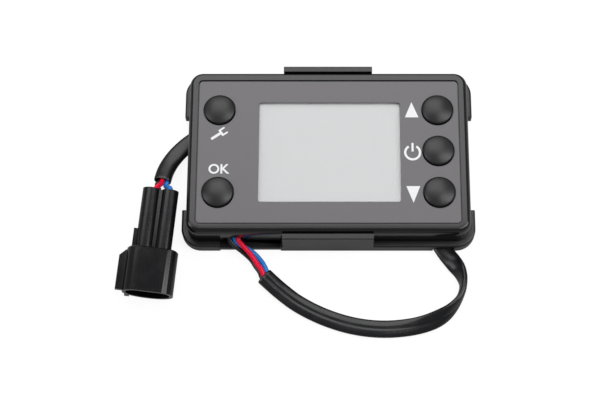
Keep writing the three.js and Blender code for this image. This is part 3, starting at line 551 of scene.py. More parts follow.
def frameMatrix(here):
    # takes the sleeve's flat section to its place on the route
    matrix = Matrix((here["across"], here["through"] * here["thickness"], here["ahead"]))
    matrix = matrix.transposed().to_4x4()
    matrix.translation = here["point"]
    return matrix


def extrudeRing(bm, ring, matrix):
    made = bmesh.ops.extrude_edge_only(bm, edges=ring)["geom"]
    verts = vertsAmong(made)
    bmesh.ops.transform(bm, matrix=matrix, verts=verts)
    return [item for item in made
            if isinstance(item, bmesh.types.BMEdge) and all(vert in verts for vert in item.verts)]


def sweep(bm, ring, matrices):
    # the ring lies in the first matrix's own plane; every further matrix takes a copy of it along
    verts = list(dict.fromkeys(vert for edge in ring for vert in edge.verts))
    bmesh.ops.transform(bm, matrix=matrices[0], verts=verts)
    for before, after in zip(matrices, matrices[1:]):
        ring = extrudeRing(bm, ring, after @ before.inverted())
    return ring


def ringEdges(verts):
    return list(dict.fromkeys(edge for vert in verts for edge in vert.link_edges))


def flatRing(bm):
    # section of the flat sleeve: an oval, drawn in at a groove beside the middle of its upper side
    look = sleeveLook
    groove = look["groove"]
    verts = bmesh.ops.create_circle(bm, cap_ends=False, segments=look["sides"], radius=1)["verts"]
    for vert in verts:
        x, y = vert.co.x, vert.co.y
        y = math.copysign(abs(y) ** look["squareness"], y) * 0.5
        if y > 0:
            y *= 1 - groove["depth"] * math.exp(-((x - groove["place"]) / groove["width"]) ** 2)
        vert.co = (x * look["width"] / 2, y, 0)
    return ringEdges(verts)


def makeMouth(bm, ring, here, outward):
    # folds the end of the sleeve over into its hollow and closes it inside
    look = sleeveLook
    wall, lip = look["wall"], look["lip"]
    base = frameMatrix(here)
    before = base
    for inset, shift in ((wall / 2, lip), (wall, lip * 0.6), (wall, -look["mouthDepth"])):
        wide, thick = (1 - inset / (size / 2) for size in (look["width"], here["thickness"]))
        narrowed = Matrix.Diagonal((wide, thick, 1, 1))
        after = base @ Matrix.Translation((0, 0, outward * shift)) @ narrowed
        ring = extrudeRing(bm, ring, after @ before.inverted())
        before = after
    bmesh.ops.edgeloop_fill(bm, edges=ring)


def makeSleeve():
    bm = bmesh.new()
    start = flatRing(bm)
    frames = [sleeveFrame(step / sleeveLook["steps"]) for step in range(sleeveLook["steps"] + 1)]
    end = sweep(bm, start, [frameMatrix(here) for here in frames])
    makeMouth(bm, start, frames[0], -1)
    makeMouth(bm, end, frames[-1], 1)
    # one order of faces in every run
    bm.faces.sort(key=lambda face: face.calc_center_median().dot((0.61, 0.53, 0.59)))
    piece = closedObject(bm, "cableSleeve")
    finishPiece(piece, "sleeveBlack", ["cable_sleeve"], sharp=60)
    return piece, [here["point"] for here in frames]


sleeve, sleevePath = makeSleeve()
sleeveLength = sum((b - a).length for a, b in zip(sleevePath, sleevePath[1:]))
print(f"sleeve made, {sleeveLength:.4f} m long")


wireLook = {
    "radius": 0.000925, "sides": 20, "perSpan": 10,
    "reach": 0.0024, "lip": 0.0002, "inside": 0.003,  # off and in the sleeve's mouth
    "off": (0.0016, 0.0019, 0.0003), "plugEnd": 0.0097,  # off the mouth and the rim, in the bore
}
sealLook = {"outer": 0.0022, "bore": 0.00098, "rib": 0.0003, "ribs": 2, "ribSteps": 8,
            "length": 0.0046, "inset": 0.0038}
# the connector is built along -Y at the origin and then turned into its place
plugLook = {
    "place": (-0.06185, -0.0141, 0.00885), "turn": (3, 8, -5.5), "length": 0.0389,
    "hoodLength": 0.016, "halfWidth": 0.00925, "hoodRise": 0.0062, "hoodDrop": 0.0067,
    "wall": 0.0013, "shoulder": 0.0052, "backWall": 0.0013, "backStep": 0.0005,
    "barrelRadius": 0.00315, "boreRadius": 0.0025,
    "boreStop": 0.0008, "pitch": 0.0068, "rise": 0.0022, "drop": 0.0028, "root": (0.0006, 0.0005),
    "rimGap": 0.0002, "bridge": (-0.0002, 0.0014), "blade": (0.0022, 0.0008), "gap": 0.0003,
    "bladeRoot": 0.002, "edge": 0.00022,
    # from the hood's side, its rear and its front, and heights
    "fin": {"x": (0.0008, -0.0003, -0.0026), "y": (0.0006, 0.0029, 0.0005), "z": (-0.0006, 0.0015)},
    "rail": {"x": (-0.0013, 0.001), "y": (-0.0002, 0.0074), "z": (0.0009, 0.003)},
    "rib": {"x": (-0.0084, -0.0066), "y": (0.0001, 0.0025), "z": (-0.00775, -0.0032)},
}
barrels = [(-plugLook["pitch"] / 2, plugLook["rise"]), (plugLook["pitch"] / 2, plugLook["rise"]),
           (0, -plugLook["drop"])]


def plugMatrix():
    # the connector is pitched, then rolled, then turned, as its solid is
    pitch, roll, yaw = (math.radians(angle) for angle in plugLook["turn"])
    turn = Matrix.Rotation(pitch, 4, "X") @ Matrix.Rotation(roll, 4, "Y")
    return Matrix.Translation(plugLook["place"]) @ Matrix.Rotation(yaw, 4, "Z") @ turn


def mouthPoint(share, off, across, above):
    here = sleeveFrame(share)
    outward = -off if share < 0.5 else off
    return here["point"] + here["ahead"] * outward + here["side"] * across + here["above"] * above


def plugPoint(x, along, z):
    return plugMatrix() @ Vector((x, -along, z))


def makeWire(name, points, colour, node):
    spans = (len(points) - 1) * wireLook["perSpan"]
    path = [routePoint(points, step / spans) for step in range(spans + 1)]
    direction = (path[1] - path[0]).normalized()
    turn = up.rotation_difference(direction)
    matrices = []
    for step, point in enumerate(path):
        ahead = (path[min(step + 1, spans)] - path[max(step - 1, 0)]).normalized()
        turn = direction.rotation_difference(ahead) @ turn
        direction = ahead
        matrices.append(Matrix.LocRotScale(point, turn, None))
    bm = bmesh.new()
    start = ringEdges(bmesh.ops.create_circle(
        bm, segments=wireLook["sides"], radius=wireLook["radius"])["verts"])
    end = sweep(bm, start, matrices)
    bmesh.ops.edgeloop_fill(bm, edges=start)
    bmesh.ops.edgeloop_fill(bm, edges=end)
    piece = closedObject(bm, name)
    return finishPiece(piece, f"wire{colour}", [node], sharp=60)


mouthPlaces = {"Red": (0.00005, 0.00045), "Blue": (0.00185, -0.0003), "Black": (-0.0009, -0.0006)}
housingRoutes = {
    # the rows run from the board, out under the housing's edge and down to the sleeve's mouth;
    # then across and above, a little off the mouth
    "Red": (
        [(-0.0319, -0.0213, 0.009975), (-0.0319, -0.0252, 0.009825), (-0.0321, -0.0274, 0.0087),
         (-0.0325, -0.0297, 0.0072), (-0.033, -0.0317, 0.0063), (-0.0318, -0.0335, 0.0059),
         (-0.0297, -0.0356, 0.0051), (-0.0278, -0.0378, 0.00435), (-0.0262, -0.0402, 0.00375)],
        (0.0009, 0.00095)),
    "Blue": (
        [(-0.0341, -0.0213, 0.009975), (-0.0341, -0.0252, 0.009725), (-0.0343, -0.0274, 0.0083),
         (-0.0346, -0.0297, 0.0064), (-0.0342, -0.0317, 0.005), (-0.0313, -0.0337, 0.004),
         (-0.028, -0.0355, 0.0029), (-0.0261, -0.0371, 0.002), (-0.0242, -0.0394, 0.0015)],
        (0.0028, -0.00085)),
    "Black": (
        [(-0.0363, -0.0231, 0.009975), (-0.0363, -0.0252, 0.009725), (-0.0366, -0.0274, 0.0083),
         (-0.0367, -0.0297, 0.0065), (-0.0362, -0.0317, 0.0052), (-0.0343, -0.0335, 0.00395),
         (-0.0318, -0.0352, 0.0027), (-0.0297, -0.0368, 0.0017), (-0.0281, -0.0384, 0.00125),
         (-0.0269, -0.0403, 0.00108)],
        (0.00015, -0.00115)),
}
plugRoutes = {
    # barrel, then across and above in the mouth, off the barrel's rim and in its bore
    "Red": (0, (0.0002, 0.0008), (-0.0013, 0.0002), (-0.00245, 0.0019)),
    "Blue": (1, (0.0017, -0.0006), (0.0032, -0.0006), (0.00345, 0.00115)),
    "Black": (2, (-0.0016, -0.00065), (-0.001, -0.0034), (-0.0003, -0.00295)),
}


def makeWires():
    made = []
    for colour, (rows, mouth) in housingRoutes.items():
        inside = mouthPlaces[colour]
        points = [*map(Vector, rows), mouthPoint(0, wireLook["reach"], *mouth),
                  mouthPoint(0, wireLook["lip"], *inside),
                  mouthPoint(0, -wireLook["inside"], *inside)]
        made.append(makeWire(f"wire{colour}", points, colour, f"wire_{colour.lower()}"))
    for colour, (index, mouth, outside, bore) in plugRoutes.items():
        x, z = barrels[index]
        inside = mouthPlaces[colour]
        inset, off = sealLook["inset"], wireLook["off"]
        points = [mouthPoint(1, -wireLook["inside"], *inside), mouthPoint(1, 0, *inside),
                  mouthPoint(1, off[0], *mouth), plugPoint(outside[0], -off[1], outside[1]),
                  plugPoint(bore[0], off[2], bore[1]), plugPoint(x, inset, z),
                  plugPoint(x, inset + sealLook["length"], z), plugPoint(x, wireLook["plugEnd"], z)]
        made.append(makeWire(f"plugWire{colour}", points, colour, f"plug_wire_{colour.lower()}"))
    return made


wires = makeWires()
print("wires made")


layDown = Matrix.Rotation(math.pi / 2, 4, "X")  # what stood upright runs along -Y


def hoodFace(bm):
    # flat top with round shoulders above the middle, half an ellipse below it
    halfX, rise, drop = plugLook["halfWidth"], plugLook["hoodRise"], plugLook["hoodDrop"]
    upper = plate(bm, halfX, rise, plugLook["shoulder"], 0, steps=20)
    middle = {"plane_co": (0, 0, 0), "plane_no": (0, 1, 0)}
    bmesh.ops.bisect_plane(bm, geom=[upper, *upper.edges, *upper.verts], clear_inner=True, **middle)
    ring = bmesh.ops.create_circle(bm, cap_ends=True, segments=96, radius=1)["verts"]
    bmesh.ops.scale(bm, vec=(halfX, drop, 1), verts=ring)
    lower = ring[0].link_faces[0]
    bmesh.ops.bisect_plane(bm, geom=[lower, *lower.edges, *lower.verts], clear_outer=True, **middle)
    bmesh.ops.remove_doubles(bm, verts=bm.verts, dist=1e-6)
    whole = bmesh.ops.dissolve_faces(bm, faces=bm.faces)["region"][0]
    bmesh.ops.rotate(bm, matrix=layDown.to_3x3(), verts=bm.verts)
    return whole


def hoodPiece():
    look = plugLook
    bm = bmesh.new()
    back = hoodFace(bm)
    bmesh.ops.translate(bm, vec=(0, look["hoodLength"] - look["length"], 0), verts=bm.verts)
    front = lift(bm, back, (0, -look["hoodLength"], 0))
    faceOutwards(bm)
    rear = next(face for face in bm.faces if len(face.verts) > 4 and face is not front)
    shrink(bm, rear, look["backStep"], look["backStep"])
    return addObject(bm, "connectorBody")


def lying(piece):
    piece.data.transform(layDown)
    return piece


def makeConnector():
    look = plugLook
    start, end, side = look["length"] - look["hoodLength"], look["length"], look["halfWidth"]
    floor = start + look["backWall"]
    reach, rimGap = look["pitch"] / 2, look["rimGap"]
    tubeRoot, webRoot = look["root"]
    body = hoodPiece()
    tubes = [lying(rodPiece(look["barrelRadius"], 0, start + tubeRoot, place)) for place in barrels]
    web = lying(prism([(*place, rimGap) for place in barrels], (0, 0, start + webRoot - rimGap)))
    bridge = boxPiece((-reach, -start - webRoot, look["rise"] + look["bridge"][0]),
                      (reach, -rimGap, look["rise"] + look["bridge"][1]))
    (root, shoulder, edge), (rear, slant, front), (low, high) = look["fin"].values()
    outline = [(root - side, -start - rear), (shoulder - side, -start - rear),
               (edge - side, -start - slant), (edge - side, front - end),
               (root - side, front - end)]
    fin = prism([(x, y, low) for x, y in outline], (0, 0, high - low))
    far = -reach - look["barrelRadius"]
    (left, right), (rear, front), (low, high) = look["rail"].values()
    rail = boxPiece((far + left, rear - start, low), (far + right, front - start, high))
    (left, right), (front, rear), (low, high) = look["rib"].values()
    rib = boxPiece((left, front - end, low), (right, -start - rear, high))
    combine(body, "UNION", [*tubes, web, bridge, fin, rail, rib])
    bores = [lying(rodPiece(look["boreRadius"], -past, start - look["boreStop"], place))
             for place in barrels]
    wide, thick = (size / 2 + look["gap"] for size in look["blade"])
    slots = [boxPiece((x - wide, -floor - past, z - thick),
                      (x + wide, look["bladeRoot"] - start, z + thick)) for x, z in barrels]
    combine(body, "DIFFERENCE", [cavityPiece(floor), *bores, *slots])
    soften(body, look["edge"])
    body.data.transform(plugMatrix())
    return finishPiece(body, "nylonBlack", ["connector_body"])


def cavityPiece(floor):
    # the hood's hollow, from its floor out past its mouth
    look = plugLook
    bm = bmesh.new()
    face = hoodFace(bm)
    faceOutwards(bm)
    shrink(bm, face, look["wall"])
    bmesh.ops.delete(bm, geom=[rim for rim in bm.faces if rim is not face], context="FACES")
    bmesh.ops.translate(bm, vec=(0, -floor, 0), verts=bm.verts)
    lift(bm, face, (0, floor - past - look["length"], 0))
    return closedObject(bm, "cavity")


def makeSeals():
    look = sealLook
    pitch = look["length"] / look["ribs"]
    shares = [step / look["ribSteps"] for step in range(look["ribSteps"] + 1)]
    ribs = [(look["outer"] - look["rib"] * (1 - math.sin(math.pi * share)), pitch * (rib + share))
            for rib in range(look["ribs"]) for share in shares]
    profile = [(look["bore"], 0), *ribs, (look["bore"], look["length"]), (look["bore"], 0)]
    made = []
    for name, (x, z) in zip(("Left", "Right", "Lower"), barrels):
        bm = bmesh.new()
        turned(bm, profile, 40)
        piece = lying(addObject(bm, f"seal{name}"))
        piece.data.transform(plugMatrix() @ Matrix.Translation((x, -look["inset"], z)))
        finishPiece(piece, "sealGreen", [f"seal_{name.lower()}"], sharp=50)
        made.append(piece)
    return made


connector = makeConnector()
seals = makeSeals()
print("lead and connector made")


holderLook = {
    "skirt": 0.0031, "floor": 0.0042, "rim": 0.0047, "wall": 0.0016, "corner": 0.0073,
    "edge": 0.0008, "root": 0.0004, "cutTop": 0.006, "soft": 0.00028,
    "waist": {"depth": 0.0039, "y": (-0.0198, 0.0176), "corner": 0.0009},
    "tab": {"half": 0.0166, "centre": -0.0002, "thick": 0.0021, "round": 0.00035},
    # root and tip: from the tab's inner face, and half the height there
    "catch": {"half": 0.014, "z": 0.0087, "root": (0.0004, 0.0007), "tip": (-0.0005, 0.00035)},
    "fixing": {"x": 0.036, "radius": 0.0021, "sink": 0.002, "pad": 0.005, "drop": 0.0002},
    "wireGap": (-0.04, -0.0176), "wireTop": 0.0024, "setback": 0.0004, "gapDepth": 0.0304,
    "shelf": 0.0012, "step": 0.0007,
    "wayIn": {"place": (0.0421, -0.0334), "turn": 30, "half": (0.0034, 0.003)},
    "wayOut": (0.0032, 0.0164),
}


def springTab(side, y, top):
    # a blade with a rounded outer edge, and the catch that sits in the shell's groove
    tab, catch = holderLook["tab"], holderLook["catch"]
    inner, curl = y - tab["thick"], tab["round"]
    turns = [math.radians(angle) for angle in range(0, 91, 15)]
    rounded = [(y - curl * (1 - math.cos(turn)), top - curl * (1 - math.sin(turn)))
               for turn in turns]
    blade = [(inner, 0), (y, 0), *rounded, (inner, top)]
    (root, wide), (tip, narrow), z = catch["root"], catch["tip"], catch["z"]
    ridge = [(inner + root, z - wide), (inner + root, z + wide),
             (inner + tip, z + narrow), (inner + tip, z - narrow)]
    return [prism([(tab["centre"] - half, side * yHere, zHere) for yHere, zHere in points],
                  (2 * half, 0, 0))
            for points, half in ((blade, tab["half"]), (ridge, catch["half"]))]


def slantedWay(way):
    # the gap that lets the sleeve under the skirt, in line with the sleeve
    halfX, halfY = way["half"]
    tool = boxPiece((-halfX, -halfY, -past), (halfX, halfY, holderLook["skirt"]))
    turn = Matrix.Rotation(math.radians(way["turn"]), 4, "Z")
    tool.data.transform(Matrix.Translation((*way["place"], 0)) @ turn)
    return tool


def makeHolder():
    look = holderLook
    x, y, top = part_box("holder")[1]
    wall, skirt, floor = look["wall"], look["skirt"], look["floor"]
    root, cutTop = look["root"], look["cutTop"]
    innerX, innerY, innerCorner = x - wall, y - wall, look["corner"] - wall
    bm = bmesh.new()
    rim = lift(bm, plate(bm, x, y, look["corner"], 0, steps=16), (0, 0, look["rim"] - look["edge"]))
    faceOutwards(bm)
    roundOver(bm, rim, look["edge"], look["edge"], 5)
    holder = addObject(bm, "wallHolder")
    combine(holder, "DIFFERENCE", [
        slab(innerX, innerY, innerCorner, floor, look["rim"] + past, steps=14),
        slab(innerX, innerY, innerCorner, -past, skirt, steps=14)])

    # the waist on the left and right: walls of the skirt first, then the recess
    low, high = look["waist"]["y"]
    waistX = x - look["waist"]["depth"]
    walls = []
    for side in (-1, 1):
        for outer, start, end in ((waistX, low - past, high + past), (innerX, low - wall, low),
                                  (innerX, high, high + wall)):
            near, far = sorted((side * (waistX - wall), side * outer))
            walls.append(boxPiece((near, start, 0), (far, end, skirt + root)))
    combine(holder, "UNION", walls)
    reach = (look["waist"]["depth"] + past) / 2
    combine(holder, "DIFFERENCE", [
        slab(reach, (high - low) / 2, look["waist"]["corner"], -past, cutTop,
             (side * (waistX + reach), (low + high) / 2)) for side in (-1, 1)])
    combine(holder, "UNION", [part for side in (-1, 1) for part in springTab(side, y, top)])

    # ways for the wires and the sleeve
    left, right = look["wireGap"]
    combine(holder, "DIFFERENCE", [
        boxPiece((left, -y - past, look["wireTop"]), (right, -look["gapDepth"], cutTop)),
        boxPiece((left, -y - past, -past), (right, look["setback"] - y, cutTop)),
        slantedWay(look["wayIn"]),
        boxPiece((-x - past, look["wayOut"][0], -past),
                 (wall + past - waistX, look["wayOut"][1], skirt))])

    # a low shelf closes the wires' gap towards the table
    step = look["step"]
    left, right, back = left - step, right + step, step - look["gapDepth"]
    combine(holder, "UNION", [
        boxPiece((left, -innerY - step, look["shelf"]), (right, back, look["wireTop"])),
        boxPiece((left, back - step, look["shelf"]), (right, back, skirt + root))])

    # fixing pads with countersunk holes
    fixing = look["fixing"]
    radius, sink = fixing["radius"], fixing["sink"]
    places = [(side * fixing["x"], 0) for side in (-1, 1)]
    combine(holder, "UNION", [rodPiece(fixing["pad"], 0, floor - fixing["drop"], place)
                              for place in places])
    for place in places:
        combine(holder, "DIFFERENCE", [
            rodPiece(radius, -past, floor + past, place),
            rodPiece(radius, floor - sink, floor + root, place, topRadius=radius + sink + root)])
    soften(holder, look["soft"], 3)
    finishPiece(holder, "satinBlack", ["holder"])


makeHolder()
print("holder made")


shellLow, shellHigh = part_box("front_shell")
overlayLow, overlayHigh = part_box("front_overlay")
shellLook = {
    "corner": 0.005, "edgeWidth": 0.0017, "edgeDepth": 0.003, "bezel": 0.00185, "wall": 0.0018,
    "pocket": 0.00075, "lip": (0.00012, 0.0001), "faceInside": 0.01205, "soft": 0.00012,
    "window": (0.0523, 0.039), "windowCentre": (0.0004, -0.00025), "windowCorner": 0.0008,
    "ledge": 0.00045, "lensRoom": (0.0283, 0.02165), "lensLedge": 0.01285, "keyHole": 0.00595,
    "catchRoom": (0.0003, 0.0005, 0.001),
}
keyPlaces = {"wrench": (-0.0405, 0.0162), "ok": (-0.0405, -0.0162), "up": (0.0405, 0.0162),
             "power": (0.0405, 0), "down": (0.0405, -0.0162)}
screwPlaces = [(x, y) for x in (-0.0462, 0.0462) for y in (-0.0262, 0.0262)]
outlet = {"x": -0.0346, "radius": 0.0045, "rise": 0.0032, "squash": 0.55, "depth": 0.0049,
          "middle": 0.00145, "reach": 0.0039, "drop": 0.004}


def archPiece():
    # the wires' way out: a round-topped tunnel through the lower wall
    radius, flat = outlet["radius"], outlet["radius"] * outlet["squash"]
    bm = bmesh.new()
    made = bmesh.ops.create_cone(bm, cap_ends=True, segments=40, radius1=1, radius2=1,
                                 depth=outlet["depth"])["verts"]
    bmesh.ops.rotate(bm, matrix=layDown.to_3x3(), verts=made)
    bmesh.ops.scale(bm, vec=(radius, 1, flat), verts=made)
    top = shellLow.z + outlet["rise"] - flat
    bmesh.ops.translate(bm, vec=(outlet["x"], shellLow.y + outlet["middle"], top), verts=made)
    tunnel = addObject(bm, "arch")
    combine(tunnel, "UNION", [boxPiece(
        (outlet["x"] - radius, shellLow.y - past, shellLow.z - outlet["drop"]),
        (outlet["x"] + radius, shellLow.y + outlet["reach"], top))])
    return tunnel


def makeFrontShell():
    look = shellLook
    bm = bmesh.new()
    base = plate(bm, shellHigh.x, shellHigh.y, look["corner"], shellLow.z, steps=14)
    top = lift(bm, base, (0, 0, shellHigh.z - look["edgeDepth"] - shellLow.z))
    faceOutwards(bm)
    roundOver(bm, top, look["edgeWidth"], look["edgeDepth"], 9)
    lipWidth, lipDrop = look["lip"]
    shrink(bm, top, look["bezel"] - lipWidth)
    shrink(bm, top, lipWidth, -lipDrop)
    lift(bm, top, (0, 0, lipDrop - look["pocket"]))
    bottom = min((face for face in bm.faces if len(face.verts) > 4),
                 key=lambda face: face.calc_center_median().z)
    shrink(bm, bottom, look["wall"])
    lift(bm, bottom, (0, 0, look["faceInside"] - shellLow.z))
    shell = closedObject(bm, "frontShell")
    windowX, windowY = (size / 2 + look["ledge"] for size in look["window"])
    inside, corner, centre = look["faceInside"] - past, look["windowCorner"], look["windowCentre"]
    cuts = [slab(windowX, windowY, corner, inside, shellHigh.z, centre),
            slab(*look["lensRoom"], corner, look["lensLedge"], shellHigh.z, centre)]
    cuts += [rodPiece(look["keyHole"], inside, shellHigh.z, place, sides=64)
             for place in keyPlaces.values()]
    cuts.append(archPiece())
    tab, catch = holderLook["tab"]["centre"], holderLook["catch"]
    spare, depth, tall = look["catchRoom"]
    for side in (-1, 1):
        near, far = sorted((side * (shellHigh.y - depth), side * (shellHigh.y + past)))
        cuts.append(boxPiece((tab - catch["half"] - spare, near, catch["z"] - tall),
                             (tab + catch["half"] + spare, far, catch["z"] + tall)))
    combine(shell, "DIFFERENCE", cuts)
    soften(shell, look["soft"], limit=50)
    finishPiece(shell, "glossBlack", ["front_shell"])


# insets are from the shell's outline, heights from its underside
rearLook = {"corner": 0.00485, "base": 0.0008, "step": 0.0001, "chamfer": 0.0007,
            "tongue": {"inset": 0.00195, "corner": 0.00295, "z": 0.0003},
            "tray": {"inset": 0.00315, "corner": 0.00195, "z": 0.0015},
            "boss": 0.003, "head": 0.0024, "headDepth": 0.0014, "shank": 0.0013}


def makeRearShell():
    look = rearLook
    low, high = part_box("rear_shell")
    bm = bmesh.new()
    base = plate(bm, high.x, high.y, look["corner"], low.z + look["base"], steps=12)
    bottom = lift(bm, base, (0, 0, -look["step"]))
    faceOutwards(bm)
    shrink(bm, bottom, look["chamfer"], look["chamfer"])
    shell = addObject(bm, "rearShell")
    foot = low.z + look["tongue"]["z"]
    steps = (("tongue", "UNION", high.z), ("tray", "DIFFERENCE", high.z + past))
    for part, operation, top in steps:
        size = look[part]
        combine(shell, operation, [slab(high.x - size["inset"], high.y - size["inset"],
                                        size["corner"], low.z + size["z"], top)])
    combine(shell, "UNION", [rodPiece(look["boss"], foot, high.z - look["tongue"]["z"], place)
                             for place in screwPlaces])
    holes = ((look["head"], low.z + look["headDepth"]), (look["shank"], high.z + past))
    cuts = [rodPiece(radius, low.z - past, top, place)
            for radius, top in holes for place in screwPlaces]
    combine(shell, "DIFFERENCE", [*cuts, archPiece()])
    soften(shell, shellLook["soft"])
    finishPiece(shell, "satinBlack", ["rear_shell"])


filmLook = {"corner": 0.0013, "spare": 0.0001, "soft": 0.00006}


def makeOverlay():
    sheet = slab(overlayHigh.x, overlayHigh.y, filmLook["corner"], overlayLow.z, overlayHigh.z,
                 steps=10)
    halfX, halfY = (size / 2 for size in shellLook["window"])
    low, high = overlayLow.z - past, overlayHigh.z + past
    holes = [slab(halfX, halfY, shellLook["windowCorner"], low, high, shellLook["windowCentre"])]
    holes += [rodPiece(shellLook["keyHole"] + filmLook["spare"], low, high, place, sides=72)
              for place in keyPlaces.values()]
    combine(sheet, "DIFFERENCE", holes)
    soften(sheet, filmLook["soft"], limit=50)
    sheet.name = "frontOverlay"
    finishPiece(sheet, "filmGrey", ["front_overlay"])


keyLook = {
    "radius": 0.00565, "flange": 0.0067, "bottom": 0.0109, "flangeTop": 0.01175,
    "shoulder": 0.01525, "top": 0.0162, "edge": 0.0006, "slope": 62, "dome": 2.1, "roof": 0.014,
    "inner": 0.0046, "stem": 0.0016, "stemEnd": 0.01325,
    "edgeSteps": 6, "domeSteps": 12, "sides": 72,
}


def makeKeys():
    # the section of one cap: stem, hollow, flange, side, rounded edge and shallow dome
    look = keyLook
    radius, edge = look["radius"], look["edge"]
    profile = [(0, look["stemEnd"]), (look["stem"], look["stemEnd"]), (look["stem"], look["roof"]),
               (look["inner"], look["roof"]), (look["inner"], look["bottom"]),
               (look["flange"], look["bottom"]), (look["flange"], look["flangeTop"]),
               (radius, look["flangeTop"])]
    for step in range(look["edgeSteps"] + 1):
        angle = math.radians(look["slope"]) * step / look["edgeSteps"]
        profile.append((radius - edge * (1 - math.cos(angle)),
                        look["shoulder"] - edge * (1 - math.sin(angle))))
    rim, base = profile[-1]
    for step in range(1, look["domeSteps"] + 1):
        share = 1 - step / look["domeSteps"]
        profile.append((rim * share, base + (look["top"] - base) * (1 - share ** look["dome"])))
    for name, place in keyPlaces.items():
        bm = bmesh.new()
        turned(bm, profile, look["sides"], (*place, 0))
        piece = addObject(bm, f"key{name.title()}")
        finishPiece(piece, "rubberBlack", [f"key_{name}"], f"button_{name}",
                    sharp=50)


displayLook = {"glassCorner": 0.0004, "edge": 0.00012, "cellTop": 0.01284, "cellGap": 0.0001}


def makeDisplay():
    # the display's glass and the clear window over it, with ground edges
    look = displayLook
    for node, name, finish, slotName, corner in (
            ("lcd_panel", "displayGlass", "displayGrey", "display_grey", look["glassCorner"]),
            ("display_window", "clearWindow", "windowClear", "clear_window",
             shellLook["windowCorner"])):
        low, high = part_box(node)
        middle, half = (low + high) / 2, (high - low) / 2
        piece = slab(half.x, half.y, corner, low.z, high.z, (middle.x, middle.y))
        piece.name = name
        soften(piece, look["edge"])
        finishPiece(piece, finish, [node])

    # the cell with its polariser stands on the glass and fills the opening up to the window
    halfX, halfY = (size / 2 + shellLook["ledge"] - look["cellGap"] for size in shellLook["window"])
    cell = slab(halfX, halfY, look["glassCorner"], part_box("lcd_panel")[1].z, look["cellTop"],
                shellLook["windowCentre"])
    cell.name = "displayCell"
    soften(cell, look["edge"])
    finishPiece(cell, "displayGrey")


makeFrontShell()
makeRearShell()
makeOverlay()
makeDisplay()
makeKeys()
print("housing made")


# prints lie just off the film
signLook = {"lift": 0.00001, "thick": 0.00002}
arrowSigns = {"signUp": {"place": (0.0309, 0.0164), "size": (0.00505, 0.0061), "turn": 1},
              "signDown": {"place": (0.031, -0.017), "size": (0.0051, 0.00645), "turn": -1}}
powerSign = {"place": (0.031, -0.0006), "radius": 0.00315, "stroke": 0.00085, "opening": 62,
             "bar": (0.00078, 0.0034), "barRise": 0.32, "barCorner": 0.0001}
spannerSign = {"place": (-0.0397, 0.0072), "turn": 34.5, "handle": (-0.0045, 0.0002, 0.0005),
               "head": (0.00042, 0.0014, 0.0001), "prong": (0.0022, 0.0011, 0.00032)}
wordSign = {"place": (-0.0402, -0.00705), "height": 0.0038, "bold": 0.02}


def signSolid(bm):
    # a flat outline becomes a thin print on the film
    for face in bm.faces:
        if face.normal.z < 0:
            face.normal_flip()
    made = bmesh.ops.extrude_face_region(bm, geom=list(bm.faces))["geom"]
    bmesh.ops.translate(bm, vec=(0, 0, signLook["thick"]), verts=vertsAmong(made))
    bmesh.ops.translate(bm, vec=(0, 0, overlayHigh.z + signLook["lift"]), verts=bm.verts)
    faceOutwards(bm)


def finishSign(piece):
    return finishPiece(piece, "printWhite", sharp=30)


def makeArrow(name, look):
    bm = bmesh.new()
    made = bmesh.ops.create_circle(bm, cap_ends=True, segments=3, radius=1)["verts"]
    low, high = (pick(vert.co.y for vert in made) for pick in (min, max))
    wide = max(vert.co.x for vert in made) - min(vert.co.x for vert in made)
    bmesh.ops.translate(bm, vec=(0, -(low + high) / 2, 0), verts=made)
    sizeX, sizeY = look["size"]
    bmesh.ops.scale(bm, vec=(sizeX / wide, look["turn"] * sizeY / (high - low), 1), verts=made)
    bmesh.ops.translate(bm, vec=(*look["place"], 0), verts=made)
    signSolid(bm)
    finishSign(addObject(bm, name))


def makePowerSign():
    look = powerSign
    bm = bmesh.new()
    x, y = look["place"]
    start = math.radians(90 + look["opening"] / 2)
    verts = [bm.verts.new((x + radius * math.cos(start), y + radius * math.sin(start), 0))
             for radius in (look["radius"] - look["stroke"], look["radius"])]
    bmesh.ops.spin(bm, geom=[*verts, bm.edges.new(verts)], cent=(x, y, 0), axis=up,
                   angle=math.radians(360 - look["opening"]), steps=48)
    wide, tall = look["bar"]
    plate(bm, wide / 2, tall / 2, look["barCorner"], 0,
          (x, y + look["radius"] - tall * look["barRise"]), 2)
    signSolid(bm)
    finishSign(addObject(bm, "signPower"))


def makeSpannerSign():
    # a bar for the handle, one across it and two prongs
    look = spannerSign
    thin = signLook["thick"]
    back, front, halfHandle = look["handle"]
    halfHead, halfAcross, corner = look["head"]
    reach, offset, halfProng = look["prong"]
    body = slab((front - back) / 2, halfHandle, halfHandle * 0.9, 0, thin, ((front + back) / 2, 0))
    bars = [slab(halfHead, halfAcross, corner, 0, thin, steps=3)]
    bars += [slab(reach / 2, halfProng, halfProng * 0.8, 0, thin, (reach / 2, side * offset),
                  steps=5) for side in (-1, 1)]
    combine(body, "UNION", bars)
    turn = Matrix.Rotation(math.radians(look["turn"]), 4, "Z")
    place = Matrix.Translation((*look["place"], overlayHigh.z + signLook["lift"]))
    body.data.transform(place @ turn)
    body.name = "signSpanner"
    finishSign(body)


